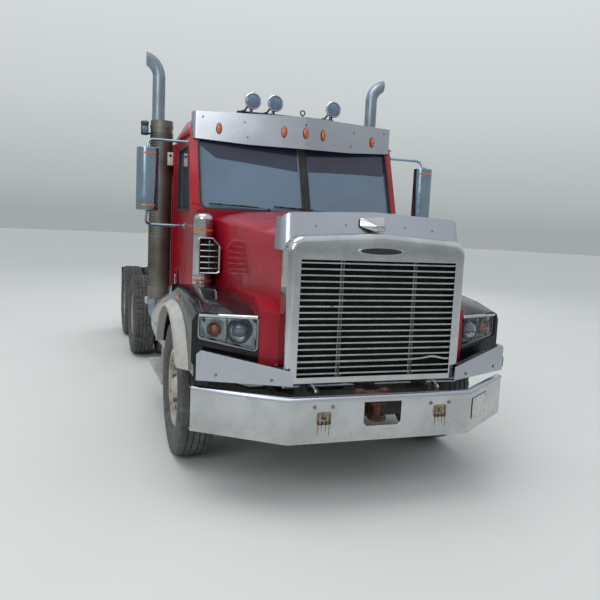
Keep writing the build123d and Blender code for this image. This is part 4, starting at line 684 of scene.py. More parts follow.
class PatternSizes(bpy.types.PropertyGroup):
    wire_pitch: FloatProperty(name="Grille mesh pitch", description="Spacing of the mesh behind the grille",
                              default=0.02, unit="LENGTH")
    hole_pitch: FloatProperty(name="Perforation pitch", description="Spacing of the heat shields' holes", default=0.024,
                              unit="LENGTH")
    hole_radius: FloatProperty(name="Perforation radius", description="Radius of the heat shields' holes",
                               default=0.0075, unit="LENGTH")
    lug_pitch: FloatProperty(name="Lug pitch", description="Spacing of the raised lugs of the deck and steps",
                             default=0.034, unit="LENGTH")


class Making:
    """What every making operator shares: its place among the undoable commands, and the sizes and colours."""
    bl_options = {"REGISTER", "UNDO"}

    @property
    def paint(self):
        return bpy.context.scene.tractor_paint

    @property
    def tyres(self):
        return bpy.context.scene.tractor_tyres

    @property
    def pattern(self):
        return bpy.context.scene.tractor_pattern


class TRACTOR_OT_stage(Making, bpy.types.Operator):
    """Lays the floor, lights the truck and stands the camera where the photograph was taken"""
    bl_idname = "tractor.stage"
    bl_label = "Stage"

    def execute(self, context):
        scene = context.scene
        scene.view_settings.view_transform = "Standard"
        camera = bpy.data.objects.new("Photograph camera", bpy.data.cameras.new("Photograph camera"))
        scene.collection.objects.link(camera)
        camera.data.sensor_width, camera.data.lens = 36.0, 36.0 * 655.107 / 600
        camera.data.clip_end = 200
        yaw, pitch, roll = radians(19.098), radians(-6.833), radians(2.686)
        ahead = Vector((sin(yaw) * cos(pitch), cos(yaw) * cos(pitch), sin(pitch)))
        level = Vector((cos(yaw), -sin(yaw), 0))
        upright = level.cross(ahead)
        right = level * cos(roll) + upright * sin(roll)
        up = -level * sin(roll) + upright * cos(roll)
        turn = Matrix((right, up, -ahead)).transposed().to_4x4()
        camera.matrix_world = Matrix.Translation((-1.9347, -7.6778, 1.8895)) @ turn
        scene.camera = camera

        # Pale painted floor: the camera and mirrors see it with the truck's soft shadow on it
        material, tree = blank_material("floor_painted_pale")
        place = add(tree, "ShaderNodeTexCoord").outputs["Object"]
        clouds = add(tree, "ShaderNodeTexNoise", {"Vector": place, "Scale": 0.8, "Detail": 3.0}).outputs["Fac"]
        tone = mixed(tree, clouds, linear(self.paint.floor_grey), linear("#d6d7d4"))
        shader = add(tree, "ShaderNodeBsdfPrincipled", {"Base Color": tone, "Roughness": 0.9})
        add(tree, "ShaderNodeOutputMaterial", {"Surface": shader.outputs[0]})
        bm = bmesh.new()
        bmesh.ops.create_circle(bm, cap_ends=True, radius=60, segments=64)
        mesh = bpy.data.meshes.new("Floor")
        bm.to_mesh(mesh)
        bm.free()
        mesh.materials.append(material)
        floor = bpy.data.objects.new("Floor", mesh)
        floor.location.z = -0.002
        scene.collection.objects.link(floor)

        world = bpy.data.worlds.new("Soft studio")
        scene.world = world
        world.use_nodes = True
        tree = world.node_tree
        tree.nodes.clear()
        # The camera, mirrors and glass see a pale wall that darkens to the horizon; other rays a dimmer one
        rays = add(tree, "ShaderNodeLightPath").outputs
        seen = maths(tree, "MAXIMUM", rays["Is Camera Ray"], rays["Is Glossy Ray"])
        seen = maths(tree, "MAXIMUM", seen, rays["Is Transmission Ray"])
        height = add(tree, "ShaderNodeSeparateXYZ",
                     {0: add(tree, "ShaderNodeTexCoord").outputs["Generated"]}).outputs["Z"]
        wall = self.ramp(tree, height, ((0.0, "#a2a8a8"), (0.05, "#b2b8b8"), (0.16, "#c9ced0"), (0.4, "#dfe4e8"),
                                        (1.0, "#f2f5f8")))
        sky = self.ramp(tree, height, ((0.0, "#6f7473"), (0.3, "#bcc4cb"), (1.0, "#eef2f6")))
        light = add(tree, "ShaderNodeBackground", {"Color": mixed(tree, seen, sky, wall), "Strength": 1.0})
        add(tree, "ShaderNodeOutputWorld", {"Surface": light.outputs[0]})

        for name, at, size, watts in (("Overhead softbox", (-3.0, -3.0, 11.0), 9.0, 420),
                                      ("Front softbox", (-7.0, -11.0, 6.0), 6.0, 260),
                                      ("Rear softbox", (5.0, 10.0, 7.0), 6.0, 200)):
            lamp = bpy.data.objects.new(name, bpy.data.lights.new(name, "AREA"))
            lamp.data.shape, lamp.data.size, lamp.data.energy = "DISK", size, watts
            lamp.location = at
            lamp.rotation_euler = (Vector((0, -1, 1)) - Vector(at)).to_track_quat("-Z", "Y").to_euler()
            scene.collection.objects.link(lamp)
        return {"FINISHED"}

    @staticmethod
    def ramp(tree, height, stops):
        """A colour that changes with the height of the view, from (height, hex colour) stops."""
        node = add(tree, "ShaderNodeValToRGB", {"Fac": height})
        colours = node.color_ramp.elements
        for n, (at, colour) in enumerate(stops):
            stop = colours[n] if n < 2 else colours.new(at)
            stop.position, stop.color = at, linear(colour)
        return node.outputs[0]


CARRIED = {     # finish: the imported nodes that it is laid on; wheels and drive tyres are told by their names
    "chassis": "frame radiator front_axle front_springs knuckle_right knuckle_left tie_rod rear_axles rear_suspension "
               "air_tanks fifth_wheel_base",
    "chrome": "bumper air_cleaners grille_surround intakes",
    "rusty": "tow_pin",
    "iron": "engine driveline fifth_wheel_plate",
    "aluminium": "cab_tanks side_steps deck_plate",
    "flare": "fender_flares",
    "exhaust": "exhaust_pipes",
    "shield": "heat_shields",
    "red": "cab_shell door_right door_left hood_shell",
    "glass": "cab_glass door_glass_right door_glass_left",
    "stainless": "visor hood_shield corner_panels",
    "lamp_black": "roof_lamps",
    "plastic": "dashboard",
    "cloth": "seats",
    "rubber": "steering_wheel mudflaps",
    "black": "fenders",
    "bar": "grille_bars",
    "reflector": "headlamps",
    "housing": "mirror_right mirror_left",
    "tyre": "front_tyre_right front_tyre_left",
}


class TRACTOR_OT_paintwork(Making, bpy.types.Operator):
    """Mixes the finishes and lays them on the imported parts"""
    bl_idname = "tractor.paintwork"
    bl_label = "Paintwork"

    def execute(self, context):
        make_finishes(self.paint)
        carried = {name: paint for paint, names in CARRIED.items() for name in names.split()}
        for name, node in frame["nodes"].items():
            paint = carried.get(name) or ("tyre" if "tyres" in name else "wheel")
            for slot in node.material_slots:
                slot.material = finishes[paint]
        return {"FINISHED"}


def tyre_ring(bm, centre_x, axle_y, groove, pitches, lugs):
    """A tyre with its tread cut as pitches of blocks between grooves, or of lugs."""
    crown, foot, bead = WHEEL_RADIUS, WHEEL_RADIUS - 16, BEAD_RADIUS
    # distance out from the tyre's middle, radius, and whether a groove runs round there
    half = [(0, crown, 0), (18, crown, 0), (21, crown, 1), (27, crown, 1), (30, crown, 0), (62, crown - 1, 0),
            (65, crown - 1, 1), (71, crown - 1, 1), (74, crown - 1, 0), (104, crown - 3, 0), (120, foot + 4, 0),
            (128, foot - 8, 0), (133, foot - 30, 0), (138, foot - 62, 0), (140, foot - 100, 0), (139, foot - 128, 0),
            (134, bead + 58, 0), (127, bead + 34, 0), (122, bead + 30, 0), (119, bead + 14, 0), (110, bead + 6, 0),
            (104, bead - 10, 0), (90, bead - 13, 0)]
    profile = [(-x, r, d) for x, r, d in half[:0:-1]] + half
    steps = 4               # rows of points to a pitch; its last row is cut
    rows = []
    for i in range(pitches * steps):
        angle = 2 * pi * i / (pitches * steps)
        row = []
        for x, radius, grooved in profile:
            share = grooved
            if not grooved and radius > foot - 20 and i % steps == steps - 1:
                if lugs and abs(x) > 20:
                    share = 0.9 if abs(x) < 121 else 0.5
                elif not lugs and abs(x) > 100:
                    share = 0.8
            reach = radius - groove * share
            row.append((centre_x + x, axle_y + reach * sin(angle), WHEEL_RADIUS + reach * cos(angle)))
        rows.append(row)
    skin(bm, rows, around=False, closed=True)


def wheel_positions():
    """(packed tyre node, body, side, tyre middles, axle station, whether its tread has lugs)"""
    for side, name in SIDES:
        yield f"front_tyre_{name}", f"front_wheel_{name}", side, (side * FRONT_TRACK,), FRONT_AXLE, False
        twins = [side * (DUAL_MIDDLE + step) for step in (-DUAL_OFFSET, DUAL_OFFSET)]
        for n, station in enumerate(DRIVE_AXLES, 1):
            yield f"drive_tyres_{n}_{name}", f"drive_wheel_{n}_{name}", side, twins, station, True


class TRACTOR_OT_tyres(Making, bpy.types.Operator):
    """Cuts the treads of the ten tyres: ribs in front, lugs on the drive axles"""
    bl_idname = "tractor.tyres"
    bl_label = "Tyres"

    def execute(self, context):
        sizes = self.tyres
        for node, body, side, middles, station, lugs in wheel_positions():
            bm = bmesh.new()
            for middle in middles:
                pitches = sizes.lug_pitches if lugs else sizes.rib_pitches
                tyre_ring(bm, middle, station, sizes.groove * 1000, pitches, lugs)
            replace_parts(piece(node + "_treaded", bm, "tyre", body, 24), node)
        return {"FINISHED"}


class TRACTOR_OT_wheel_trim(Making, bpy.types.Operator):
    """Wheel nuts, hubs and hub nuts"""
    bl_idname = "tractor.wheel_trim"
    bl_label = "Wheel trim"

    def execute(self, context):
        for node, body, side, middles, station, lugs in wheel_positions():
            face, out = disc_face(node, side, station), (side, 0, 0)
            hub = (face, station, WHEEL_RADIUS)
            self.nuts(node + "_nuts", body, hub, side, 10, 167, (17, 24, 22))
            bm = bmesh.new()
            if lugs:                # flange of the half shaft
                turned(bm, [(-30, 104), (6, 104), (14, 98), (18, 60), (34, 50), (38, 40), (38, 0)], hub, out, 40)
                studs, circle = 8, 80
            else:                   # oil-filled hub cap with its sight glass
                turned(bm, [(-30, 84), (8, 84), (14, 78), (22, 60), (24, 40)], hub, out, 40)
                turned(bm, [(22, 42), (27, 38), (27, 0)], hub, out, 32, 1)
                studs, circle = 6, 69
            piece(node + "_hub", bm, ("wheel", "lamp_black"), body, 35)
            self.nuts(node + "_hub_nuts", body, (face + side * 16, *hub[1:]), side, studs, circle, (9, 12, 13))
        return {"FINISHED"}

    @staticmethod
    def nuts(name, body, centre, side, count, radius, sizes):
        """A circle of nuts facing outwards round a wheel's axle; sizes are their head, height and washer."""
        x, y, z = centre
        places = [((x, y + v, z + u), (side, 0, 0)) for u, v in oval(radius, radius, count)]
        bolts(name, places, *sizes, 6, "bolt", body, "rusty_steel")


def disc_face(node, side, station):
    """Where the wheel's disc faces outwards on its bolt circle, in millimetres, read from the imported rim."""
    rim = frame["nodes"][node.replace("tyre", "rim")].data
    found = [v.co.x * 1000 for v in rim.vertices
             if abs(hypot((v.co.y + HALF_LENGTH) * 1000 - station, v.co.z * 1000 - WHEEL_RADIUS) - 170) < 75]
    return max(found, key=lambda x: x * side)


class TRACTOR_OT_grille(Making, bpy.types.Operator):
    """The slats with their rusted supports, one slat bent, the mesh behind them, a sheet of painted shade behind that,
    and the bare badge above
    """
    bl_idname = "tractor.grille"
    bl_label = "Grille"

    def execute(self, context):
        count, bent, low, high = 19, 2, 873, 1650
        face_y, half_width = 172, 566
        step = (high - low) / count
        heights = [low + (k + 0.5) * step for k in range(count)]
        straight = [((0, face_y, z), ACROSS) for k, z in enumerate(heights) if k != bent]
        made = slats("grille_slats", straight, half_width * 2, 12.5, 20, 5, "bar", "hood")
        bm = bmesh.new()
        nose = [(-1, -0.3), (-0.8, -0.6), (0.9, -0.62), (1, -0.4), (1, 0.4), (0.9, 0.62), (-0.8, 0.6), (-1, 0.3)]
        dent = ((-half_width, 0, 0), (60, 0, 0), (250, -1, 2), (350, -3, 8), (420, -6, 20), (462, -4, 17), (520, -1, 4),
                (half_width, 0, 0))
        tube(bm, [(x, face_y + dy, heights[bent] + dz) for x, dy, dz in dent], 10, section=nose)
        for x in (-270, 270):
            slab(bm, (x - 13, x + 13), (176, 196), (low + 0.5, high - 0.5), 2.5, 1)
            tube(bm, [(x + dx, 166, heights[0] - 9) for dx in (-26, 26)], 5, 0, 8, 2)
        dressed = piece("grille_supports", bm, ("bar", "iron", "rusty"), "hood", 40)
        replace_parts(made, "grille_bars")
        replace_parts(dressed, "grille_bars")
        rivets = [((x, 163, z), AHEAD) for x in (-270, 270) for z in heights[:2]]
        bolts("grille_rivets", rivets, 5, 4, 7, 6, "rusty", "hood", "rusty_steel")
        # the mesh behind the slats, in the painted-shade black
        pitch, wire = self.pattern.wire_pitch * 1000, 1.8
        columns = [((-563 + k * pitch, 206, 1261), UP) for k in range(int(1130 / pitch))]
        rows = [((0, 209, 880 + k * pitch), ACROSS) for k in range(int(770 / pitch))]
        slats("grille_mesh_uprights", columns, 768, wire, wire, 0.4, "dark", "hood")
        slats("grille_mesh_rows", rows, half_width * 2, wire, wire, 0.4, "dark", "hood")
        # a dark sheet of painted shade closes the grille's back
        bm = bmesh.new()
        slab(bm, (-572, 572), (268, 270), (870, 1655), 0.4, 0)
        piece("grille_backing", bm, "dark", "hood", 30)
        # the badge on the header is left bare
        bm = bmesh.new()
        plate_shape(bm, oval(170, 31), (-12, 140, 1716), ACROSS, UP, 12, 4, 0, 3)
        plate_shape(bm, oval(154, 21), (-12, 138.5, 1716), ACROSS, UP, 3, 0.8, 1)
        piece("header_badge_blank", bm, ("chrome", "lamp_black"), "hood", 40)
        return {"FINISHED"}


class TRACTOR_OT_headlamps(Making, bpy.types.Operator):
    """Housings, bowls, divider, seals, brows and clear covers of the lamps in the fenders"""
    bl_idname = "tractor.headlamps"
    bl_label = "Headlamps"

    def execute(self, context):
        inner, outer = Vector((-775, 352, 0)), Vector((-1165, 492, 0))
        along = (outer - inner).normalized()
        face = Vector((-along.y, along.x, 0))           # out of the fender, towards the road

        def place(across, height, out=0.0):
            return inner + along * across + Vector((0, 0, height)) + face * out

        def outline(by, out=0.0):
            corners = [(by, 1005 + by), (by, 1250 - by), (412 - by, 1250 - by), (412 - by, 1078 + by)]
            return [place(u, z, out) for u, z in filleted(corners, max(28 - by / 2, 4))]

        bm = bmesh.new()
        skin(bm, [outline(*ring) for ring in ((0, -69), (0, -4), (3, 0), (13, 0), (17, -4), (22, -46))], ends=(1, 0))
        mirrored(bm)
        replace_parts(piece("headlamp_housings", bm, ("reflector", "lamp_black"), "hood", 35), "headlamps")
        # deep main bowl under its dark ring with a projector in it; the smaller copper-tinted turn lamp
        bm = bmesh.new()
        bowl = ((-30, 0), (-29, 0.4), (-22, 0.66), (-6, 0.84), (0, 0.87))
        rim = ((-30, 0.86), (3, 0.86), (6, 0.9), (6, 0.98), (-30, 1))
        bulb = ((-29, 0.46), (-14, 0.46), (-10, 0.42), (-6, 0.3), (-4, 0))
        for across, height, radius, paints in ((134, 1142, 86, (0, 1, 2)), (300, 1150, 57, (3, 0, 3))):
            for profile, steps, paint in zip((bowl, rim, bulb), (48, 48, 32), paints):
                sized = [(out, share * radius) for out, share in profile]
                turned(bm, sized, place(across, height, -14), face, steps, paint)
        for height in (1122, 1162):
            tube(bm, [place(60, height, -14), place(208, height, -14)], 2.2, 0, 6, 1)
        # upright divider between the two, and the folds of the reflector beside them
        tube(bm, [place(226, 1046, -26), place(226, 1230, -26)], 1, section=[(9, 0), (4, 8), (-4, 8), (-9, 0)])
        for across, foot, top in ((34, 1030, 1100), (382, 1096, 1150), (376, 1190, 1228), (40, 1196, 1230)):
            tube(bm, [place(across, foot, -40), place(across + 14, top, -40)], 1, section=[(14, 0), (0, 14), (-14, 0)])
        mirrored(bm)
        piece("headlamp_bowls", bm, ("reflector", "lamp_black", "lamp_glass", "copper"), "hood", 40)
        bm = bmesh.new()
        ring_frame(bm, outline(-6), outline(0.5), face, 1.5, 20)
        mirrored(bm)
        piece("headlamp_seals", bm, "rubber", "hood", 30)
        # the brow, a bright band over each lamp
        bm = bmesh.new()
        band = ((1250, 0.5), (1254, 8), (1248, 13), (1233, 12), (1229, 6), (1230, 0.5))
        skin(bm, [[place(across, z, out) for z, out in band] for across in (10, 200, 402)], ends=(0, 0))
        mirrored(bm)
        piece("headlamp_brows", bm, "chrome", "hood", 40)
        bm = bmesh.new()
        skin(bm, [outline(*ring) for ring in ((17, -3), (17, 0), (22, 3), (60, 6))], ends=(0, 0))
        mirrored(bm)
        piece("headlamp_covers", bm, "lens", "hood", 30)
        return {"FINISHED"}


class TRACTOR_OT_bumper(Making, bpy.types.Operator):
    """Bolts and lip of the bumper, its rusted brackets, the blank plate, the tow pin's spool and the panels' bolts"""
    bl_idname = "tractor.bumper"
    bl_label = "Bumper"

    def execute(self, context):
        # a film of rust water, then the bare bracket that it comes from
        bm = bmesh.new()
        for x, z, lean in ((-418, 640, -5), (430, 650, 4)):
            plate_shape(bm, round_outline(52, 44, 20), (x, -0.4, z), ACROSS, UP, 0.4, 0, 1)
            for share, drop in ((-0.7, 88), (-0.2, 60), (0.35, 74), (0.8, 96)):
                run = [(-7, 0), (7, 0), (2 + lean, -drop), (-2 + lean, -drop)]
                plate_shape(bm, run, (x + 52 * share, -0.4, z - 20), ACROSS, UP, 0.4, 0, 1)
            for u0, u1, v0, v1 in ((-42, -35, -38, 34), (35, 42, -38, 34), (-42, 42, -40, -33), (-16, 16, -8, 22)):
                slab(bm, (x + u0, x + u1), (-2.4, -0.2), (z + v0, z + v1), 0.8, 0)
        piece("bumper_rust_marks", bm, ("rusty", "stain"), "chassis", 30)
        # rolled lip along the bumper's top edge
        bm = bmesh.new()
        lip = ((0.3, -14), (4, -12), (5, -5), (4, 2), (0, 9), (-7, 13), (-16, 15), (-36, 15), (-36, 12), (-16, 11.5),
               (-3, 3), (0.2, -8))
        out, corner_out = Vector((0.598, -0.802, 0)), Vector((0.598, -1.802, 0)).normalized() * 1.054
        rows = []
        for x in (-1208, -661, 661, 1208):
            way = (out if abs(x) > 1000 else corner_out) * Vector((1 if x > 0 else -1, 1, 1))
            foot = Vector((x, max(0, (abs(x) - BUMPER_FLAT) * BUMPER_RAKE), BUMPER_TOP))
            rows.append([foot + way * proud + Vector((0, 0, up)) for proud, up in lip])
        skin(bm, rows, ends=(0, 0))
        piece("bumper_lip", bm, "stainless", "chassis", 50)
        heads = ((-483, 717), (-359, 714), (-415, 664), (358, 707), (499, 707), (432, 661))
        bolts("bumper_bolts", [((x, -2, z), AHEAD) for x, z in heads], 9, 8, 13, 6, "bolt", "chassis", "chrome")
        # bare number plate on the swept left end
        bm = bmesh.new()
        along = Vector((0.802, 0.598, 0))
        middle = Vector((830, (830 - BUMPER_FLAT) * BUMPER_RAKE, 636)) + out * 6.5

        def on_plate(u, v):
            return middle + along * u + Vector((0, 0, v))

        plate_shape(bm, round_outline(150, 76, 12), middle, along, UP, 1.6, 0.4)
        ring_frame(bm, *[[on_plate(*p) for p in round_outline(*size)] for size in ((147, 73, 11), (141, 67, 8))], out,
                   1.2, 0)
        for u, v in ((-105, -60), (-105, 60), (105, -60), (105, 60)):
            for profile in ([(0, 7), (2.4, 6), (3, 0)], [(-6, 8), (0, 8)]):
                turned(bm, profile, on_plate(u, v), out, 12, 1)
        piece("plate_blank", bm, ("plate", "bolt"), "chassis", 35)
        # the tow pin's two flared discs with the worn eye between them, and the clevis over it
        bm = bmesh.new()
        spool = [(-70, 50), (-64, 62), (-54, 62), (-46, 44), (-40, 30), (-10, 24.6), (30, 24.6), (44, 34), (52, 48),
                 (58, 50), (64, 44), (70, 20), (72, 0)]
        turned(bm, spool, (0, 92, 652), "z", 40)
        slab(bm, (-168, 78), (58, 128), (766.5, 780), 4, 0)
        for x0, x1 in ((-164, -104), (16, 74)):
            slab(bm, (x0, x1), (62, 116), (778, 797), 5, 0)
            turned(bm, [(0, 9), (6, 9), (7, 0)], ((x0 + x1) / 2, 88, 797), "z", 6, 1)
        piece("tow_spool", bm, ("rusty", "bolt"), "chassis", 40)
        # bolts of the corner panels
        heads = [((-x, 111 + (x - 600) * PANEL_RAKE, z), (-PANEL_RAKE, -1, 0)) for x, z in ((1065, 870), (728, 859))]
        bolts("panel_bolts", both_sides(heads), 8, 5, 11, 6, "bolt", "hood", "stainless")
        return {"FINISHED"}


class TRACTOR_OT_stacks(Making, bpy.types.Operator):
    """Perforations as discs of painted shade, and plain bands of the heat shields"""
    bl_idname = "tractor.stacks"
    bl_label = "Exhaust stacks"

    def execute(self, context):
        sizes = self.pattern
        tree = perforation_tree()
        bottom, top = [corner.z * 1000 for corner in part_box("heat_shields")]
        values = {"Pitch": sizes.hole_pitch, "Hole radius": sizes.hole_radius, "Height": (top - bottom - 260) / 1000,
                  "Shield radius": (SHIELD_RADIUS + 0.3) / 1000, "Finish": "dark"}
        # each shield's holes are flat dark discs of painted shade laid on its face
        for side, name in SIDES:
            middle = points_mesh("holes", [((side * STACK_X, STACK_Y, (bottom + top) / 2), UP)])
            run_tree(f"stack_perforations_{name}", tree, middle, values, "chassis")
        bm = bmesh.new()
        band = [(along, SHIELD_RADIUS + proud) for along, proud in ((-14, 0), (-14, 3.5), (14, 3.5), (14, 0))]
        for z in (bottom + 60, bottom + 620, bottom + 1180, top - 60):
            turned(bm, band, (-STACK_X, STACK_Y, z), "z", 40)
        mirrored(bm)
        piece("stack_bands", bm, "shield", "chassis", 40)
        return {"FINISHED"}


class TRACTOR_OT_brightwork(Making, bpy.types.Operator):
    """Ornament and bolts of the hood's shield, and the fenders' side lamps"""
    bl_idname = "tractor.brightwork"
    bl_label = "Brightwork"

    def execute(self, context):
        bm = bmesh.new()
        slab(bm, (-1206, -1196), (1100, 1160), (1268, 1296), 4, 0)
        slab(bm, (-1203, -1190), (1092, 1168), (1260, 1304), 3, 1)
        mirrored(bm)
        piece("fender_side_lamps", bm, ("amber", "lamp_black"), "hood", 40)
        bm = bmesh.new()
        # a solid arrowhead: its flat top slopes down to the nose
        corners = ((-124, 276, 1932), (62, 276, 1946), (26, 196, 1888), (-20, 200, 1884), (-128, 262, 1874),
                   (66, 262, 1886), (34, 204, 1842), (-30, 208, 1842))
        bmesh.ops.convex_hull(bm, input=[bm.verts.new(p) for p in corners])
        bmesh.ops.dissolve_limit(bm, angle_limit=radians(4), verts=bm.verts, edges=bm.edges)
        bmesh.ops.bevel(bm, geom=list(bm.edges), offset=5, segments=3, affect="EDGES", profile=0.5)
        piece("hood_ornament", bm, "chrome", "hood", 40)
        heads = [((x, 240 + (z - 1700) * 60 / 275, z), (0, -1, 0.2))
                 for x, z in ((-435, 1864), (-220, 1880), (435, 1864), (220, 1880))]
        bolts("shield_bolts", heads, 5, 4, 7, 6, "bolt", "hood", "stainless")
        return {"FINISHED"}


SOFT = (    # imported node, finish, body, slot, how far its edges are rounded in millimetres
    ("hood_shell", "red", "hood", "red_paint", 5), ("fenders", "black", "hood", "black_paint", 10),
    ("fender_flares", "flare", "hood", "flare_rubber", 9), ("cab_shell", "red", "chassis", "red_paint", 7),
    ("door_right", "red", "door_right", "red_paint", 3), ("door_left", "red", "door_left", "red_paint", 3),
    ("visor", "stainless", "chassis", "stainless", 1.2), ("bumper", "chrome", "chassis", "chrome", 2.2),
    ("corner_panels", "stainless", "hood", "stainless", 1.4), ("hood_shield", "stainless", "hood", "stainless", 1.3),
    ("grille_surround", "chrome", "hood", "chrome", 2), ("side_steps", "aluminium", "chassis", "aluminium", 4),
    ("dashboard", "plastic", "chassis", "trim_grey", 22),
    ("engine", "iron", "chassis", "engine_grey", 12), ("fifth_wheel_plate", "iron", "fifth_wheel", "rusty_steel", 6),
)


class TRACTOR_OT_panels(Making, bpy.types.Operator):
    """Rounds the edges of the pressed panels, the mouldings and the castings"""
    bl_idname = "tractor.panels"
    bl_label = "Panels"

    def execute(self, context):
        for node, paint, body, slot, edge in SOFT:
            softened(node, paint, body, edge)
        return {"FINISHED"}


def screen_point(x, z, out=0.0):
    """A point of the raked, split windscreen's face at a distance from the middle and a height, and its way out."""
    facing = Vector((SCREEN_SPLAY if x > 0 else -SCREEN_SPLAY, -1, SCREEN_RAKE)).normalized()
    return Vector((x, 1700 + abs(x) * SCREEN_SPLAY + (z - 1950) * SCREEN_RAKE, z)) + facing * out, facing


class TRACTOR_OT_glazing(Making, bpy.types.Operator):
    """Rubber seals round the windscreen and windows, the screen's post, a band of painted reflection at its head, door
    linings and wipers
    """
    bl_idname = "tractor.glazing"
    bl_label = "Glazing"

    def execute(self, context):
        bm = bmesh.new()
        for side in (-1, 1):
            corners = filleted([(28, 1965), (28, 2592), (910, 2592), (910, 1965)], [10, 10, 30, 60])
            outer, inner = [[screen_point(side * x, z)[0] for x, z in inset(corners, by)] for by in (-9, 8)]
            ring_frame(bm, outer, inner, screen_point(side, 2200)[1], 4, 26)
        post = [screen_point(-0.01, z)[0] + Vector((0, -2, 0)) for z in (1970, 2600)]
        tube(bm, post, 15, section=[(1.3, -0.6), (1.3, 0.2), (0.8, 0.6), (-0.8, 0.6), (-1.3, 0.2), (-1.3, -0.6)])
        # back window
        hole = filleted([(-520, 1990), (-520, 2440), (520, 2440), (520, 1990)], 50)
        ring_frame(bm, *[[(x, 3000, z) for x, z in inset(hole, by)] for by in (-22, 14)], BACK, 5, 45)
        piece("screen_seals", bm, "rubber", "chassis", 30)
        # a band of painted reflection at the screen's head: the visor's dark underside as the glass mirrors it, its
        # lower edge drawn along that reflection's curve
        bm = bmesh.new()
        for lower in (((-905, 2532), (-869, 2503), (-764, 2418), (-517, 2392), (-29, 2329)),
                      ((29, 2336), (272, 2347), (560, 2356), (867, 2361), (905, 2395))):
            outline = filleted([(lower[0][0], 2588), *lower, (lower[-1][0], 2588)], [1, 1, 30, 90, 90, 1, 1])
            skin(bm, [[screen_point(x, z, out)[0] for x, z in outline] for out in (-18.6, -19.6)], ends=(0, 0))
        piece("screen_head_band", bm, "tint", "chassis", 30)
        for side, name in SIDES:
            bm = bmesh.new()
            hole = [(2045, 1945), (2205, 2520), (2720, 2520), (2720, 1945)]
            outer, inner = inset(filleted(hole, 1.0), -9), inset(filleted(hole, [16, 50, 40, 16]), 13)
            ring_frame(bm, *[[(side * 985, y, z) for y, z in ring] for ring in (outer, inner)], (side, 0, 0), 4, 32)
            slab(bm, sorted((side * 982, side * 992)), (2052, 2716), (1934, 1950), 3)
            piece(f"door_window_seal_{name}", bm, "rubber", f"door_{name}", 30)
            # lining of the door with its arm rest and handle
            bm = bmesh.new()
            slab(bm, sorted((side * 905, side * 922)), (1760, 2760), (1240, 1925), 6)
            slab(bm, sorted((side * 868, side * 906)), (2080, 2560), (1640, 1690), 14, 0, None, 3)
            slab(bm, sorted((side * 890, side * 906)), (2560, 2640), (1750, 1790), 6, 1)
            piece(f"door_lining_{name}", bm, ("plastic", "chrome"), f"door_{name}", 30)
        # wipers rest along the foot of the screen
        bm = bmesh.new()
        for pivot, tip in ((-330, -840), (150, -290)):
            foot, facing = screen_point(pivot, 1972, 16)
            turned(bm, [(-16, 13), (4, 13), (9, 9), (10, 0)], foot, facing, 16)
            knee = screen_point((pivot + tip) / 2 - 0.01, 2000, 20)[0]
            tube(bm, [foot, knee], [7, 4.5], section=[(1, -0.4), (1, 0.4), (-1, 0.4), (-1, -0.4)])
            a, b = screen_point(pivot - 90, 1988, 8)[0], screen_point(tip, 2004, 8)[0]
            tube(bm, [a, (a + b) / 2, b], 6, section=[(0.5, -1), (0.5, 1), (-0.5, 1), (-0.5, -1)])
            for share in (0.2, 0.5, 0.8):
                at = a.lerp(b, share)
                slab(bm, (at.x - 14, at.x + 14), (at.y - 7, at.y + 4), (at.z - 1, at.z + 9), 2)
        piece("wipers", bm, "rubber", "chassis", 35)
        return {"FINISHED"}


class TRACTOR_OT_visor(Making, bpy.types.Operator):
    """Oval marker lamps, bolts, and the sun visor's underside as a dark sheet of painted shade"""
    bl_idname = "tractor.visor"
    bl_label = "Sun visor"

    def execute(self, context):
        def face(x, z):
            way = (x > 0) - (x < 0)
            return Vector((x, 1840 + 260 * abs(x) / 960, z)), Vector((0.27 * way, -1, 0)).normalized()

        bm = bmesh.new()
        for x in (0, -185, 185, -741, 741):
            at, facing = face(x, 2670)
            along = Vector((-facing.y, facing.x, 0))
            for outline, foot, top, crown, paint in ((oval(27, 50, 28), -1, 4, 2, 1), (oval(22, 45, 28), 2, 11, 7, 0)):
                rings = ((1, foot), (1, top), (0.86, top + crown * 0.6), (0.5, top + crown))
                skin(bm, [[at + along * (u * grow) + Vector((0, 0, v * grow)) + facing * out for u, v in outline]
                          for grow, out in rings], paint, ends=(paint, paint))
        piece("visor_marker_lamps", bm, ("amber", "rubber"), "chassis", 40)
        heads = ((-525, 2735), (-497, 2607), (525, 2735), (497, 2607), (0, 2742), (-880, 2765), (880, 2765))
        bolts("visor_bolts", [face(x, z) for x, z in heads], 7, 5, 10, 6, "bolt", "chassis", "stainless")
        # a dark sheet of painted shade under the visor and over the header above the screen
        bm = bmesh.new()
        rows = []
        for x in (-944, -905, -700, -450, -200, 0, 200, 450, 700, 905, 944):
            low = 2538 + 50 * (abs(x) / 960) ** 1.5
            front = face(x, low)[0].y + 9 + (30 if abs(x) > 940 else 0)
            rear = min(screen_point(x - 0.01, 2628)[0].y, 2110) - 3
            rows.append([(x, y, z) for y, z in ((front, low), (front, 2795), (front + 3, 2795), (front + 3, 2640),
                                                (rear, 2632), (rear, 2628), (front + 3, 2636), (front + 3, low))])
        skin(bm, rows, ends=(0, 0))
        piece("visor_liner", bm, "liner", "chassis", 30)
        return {"FINISHED"}


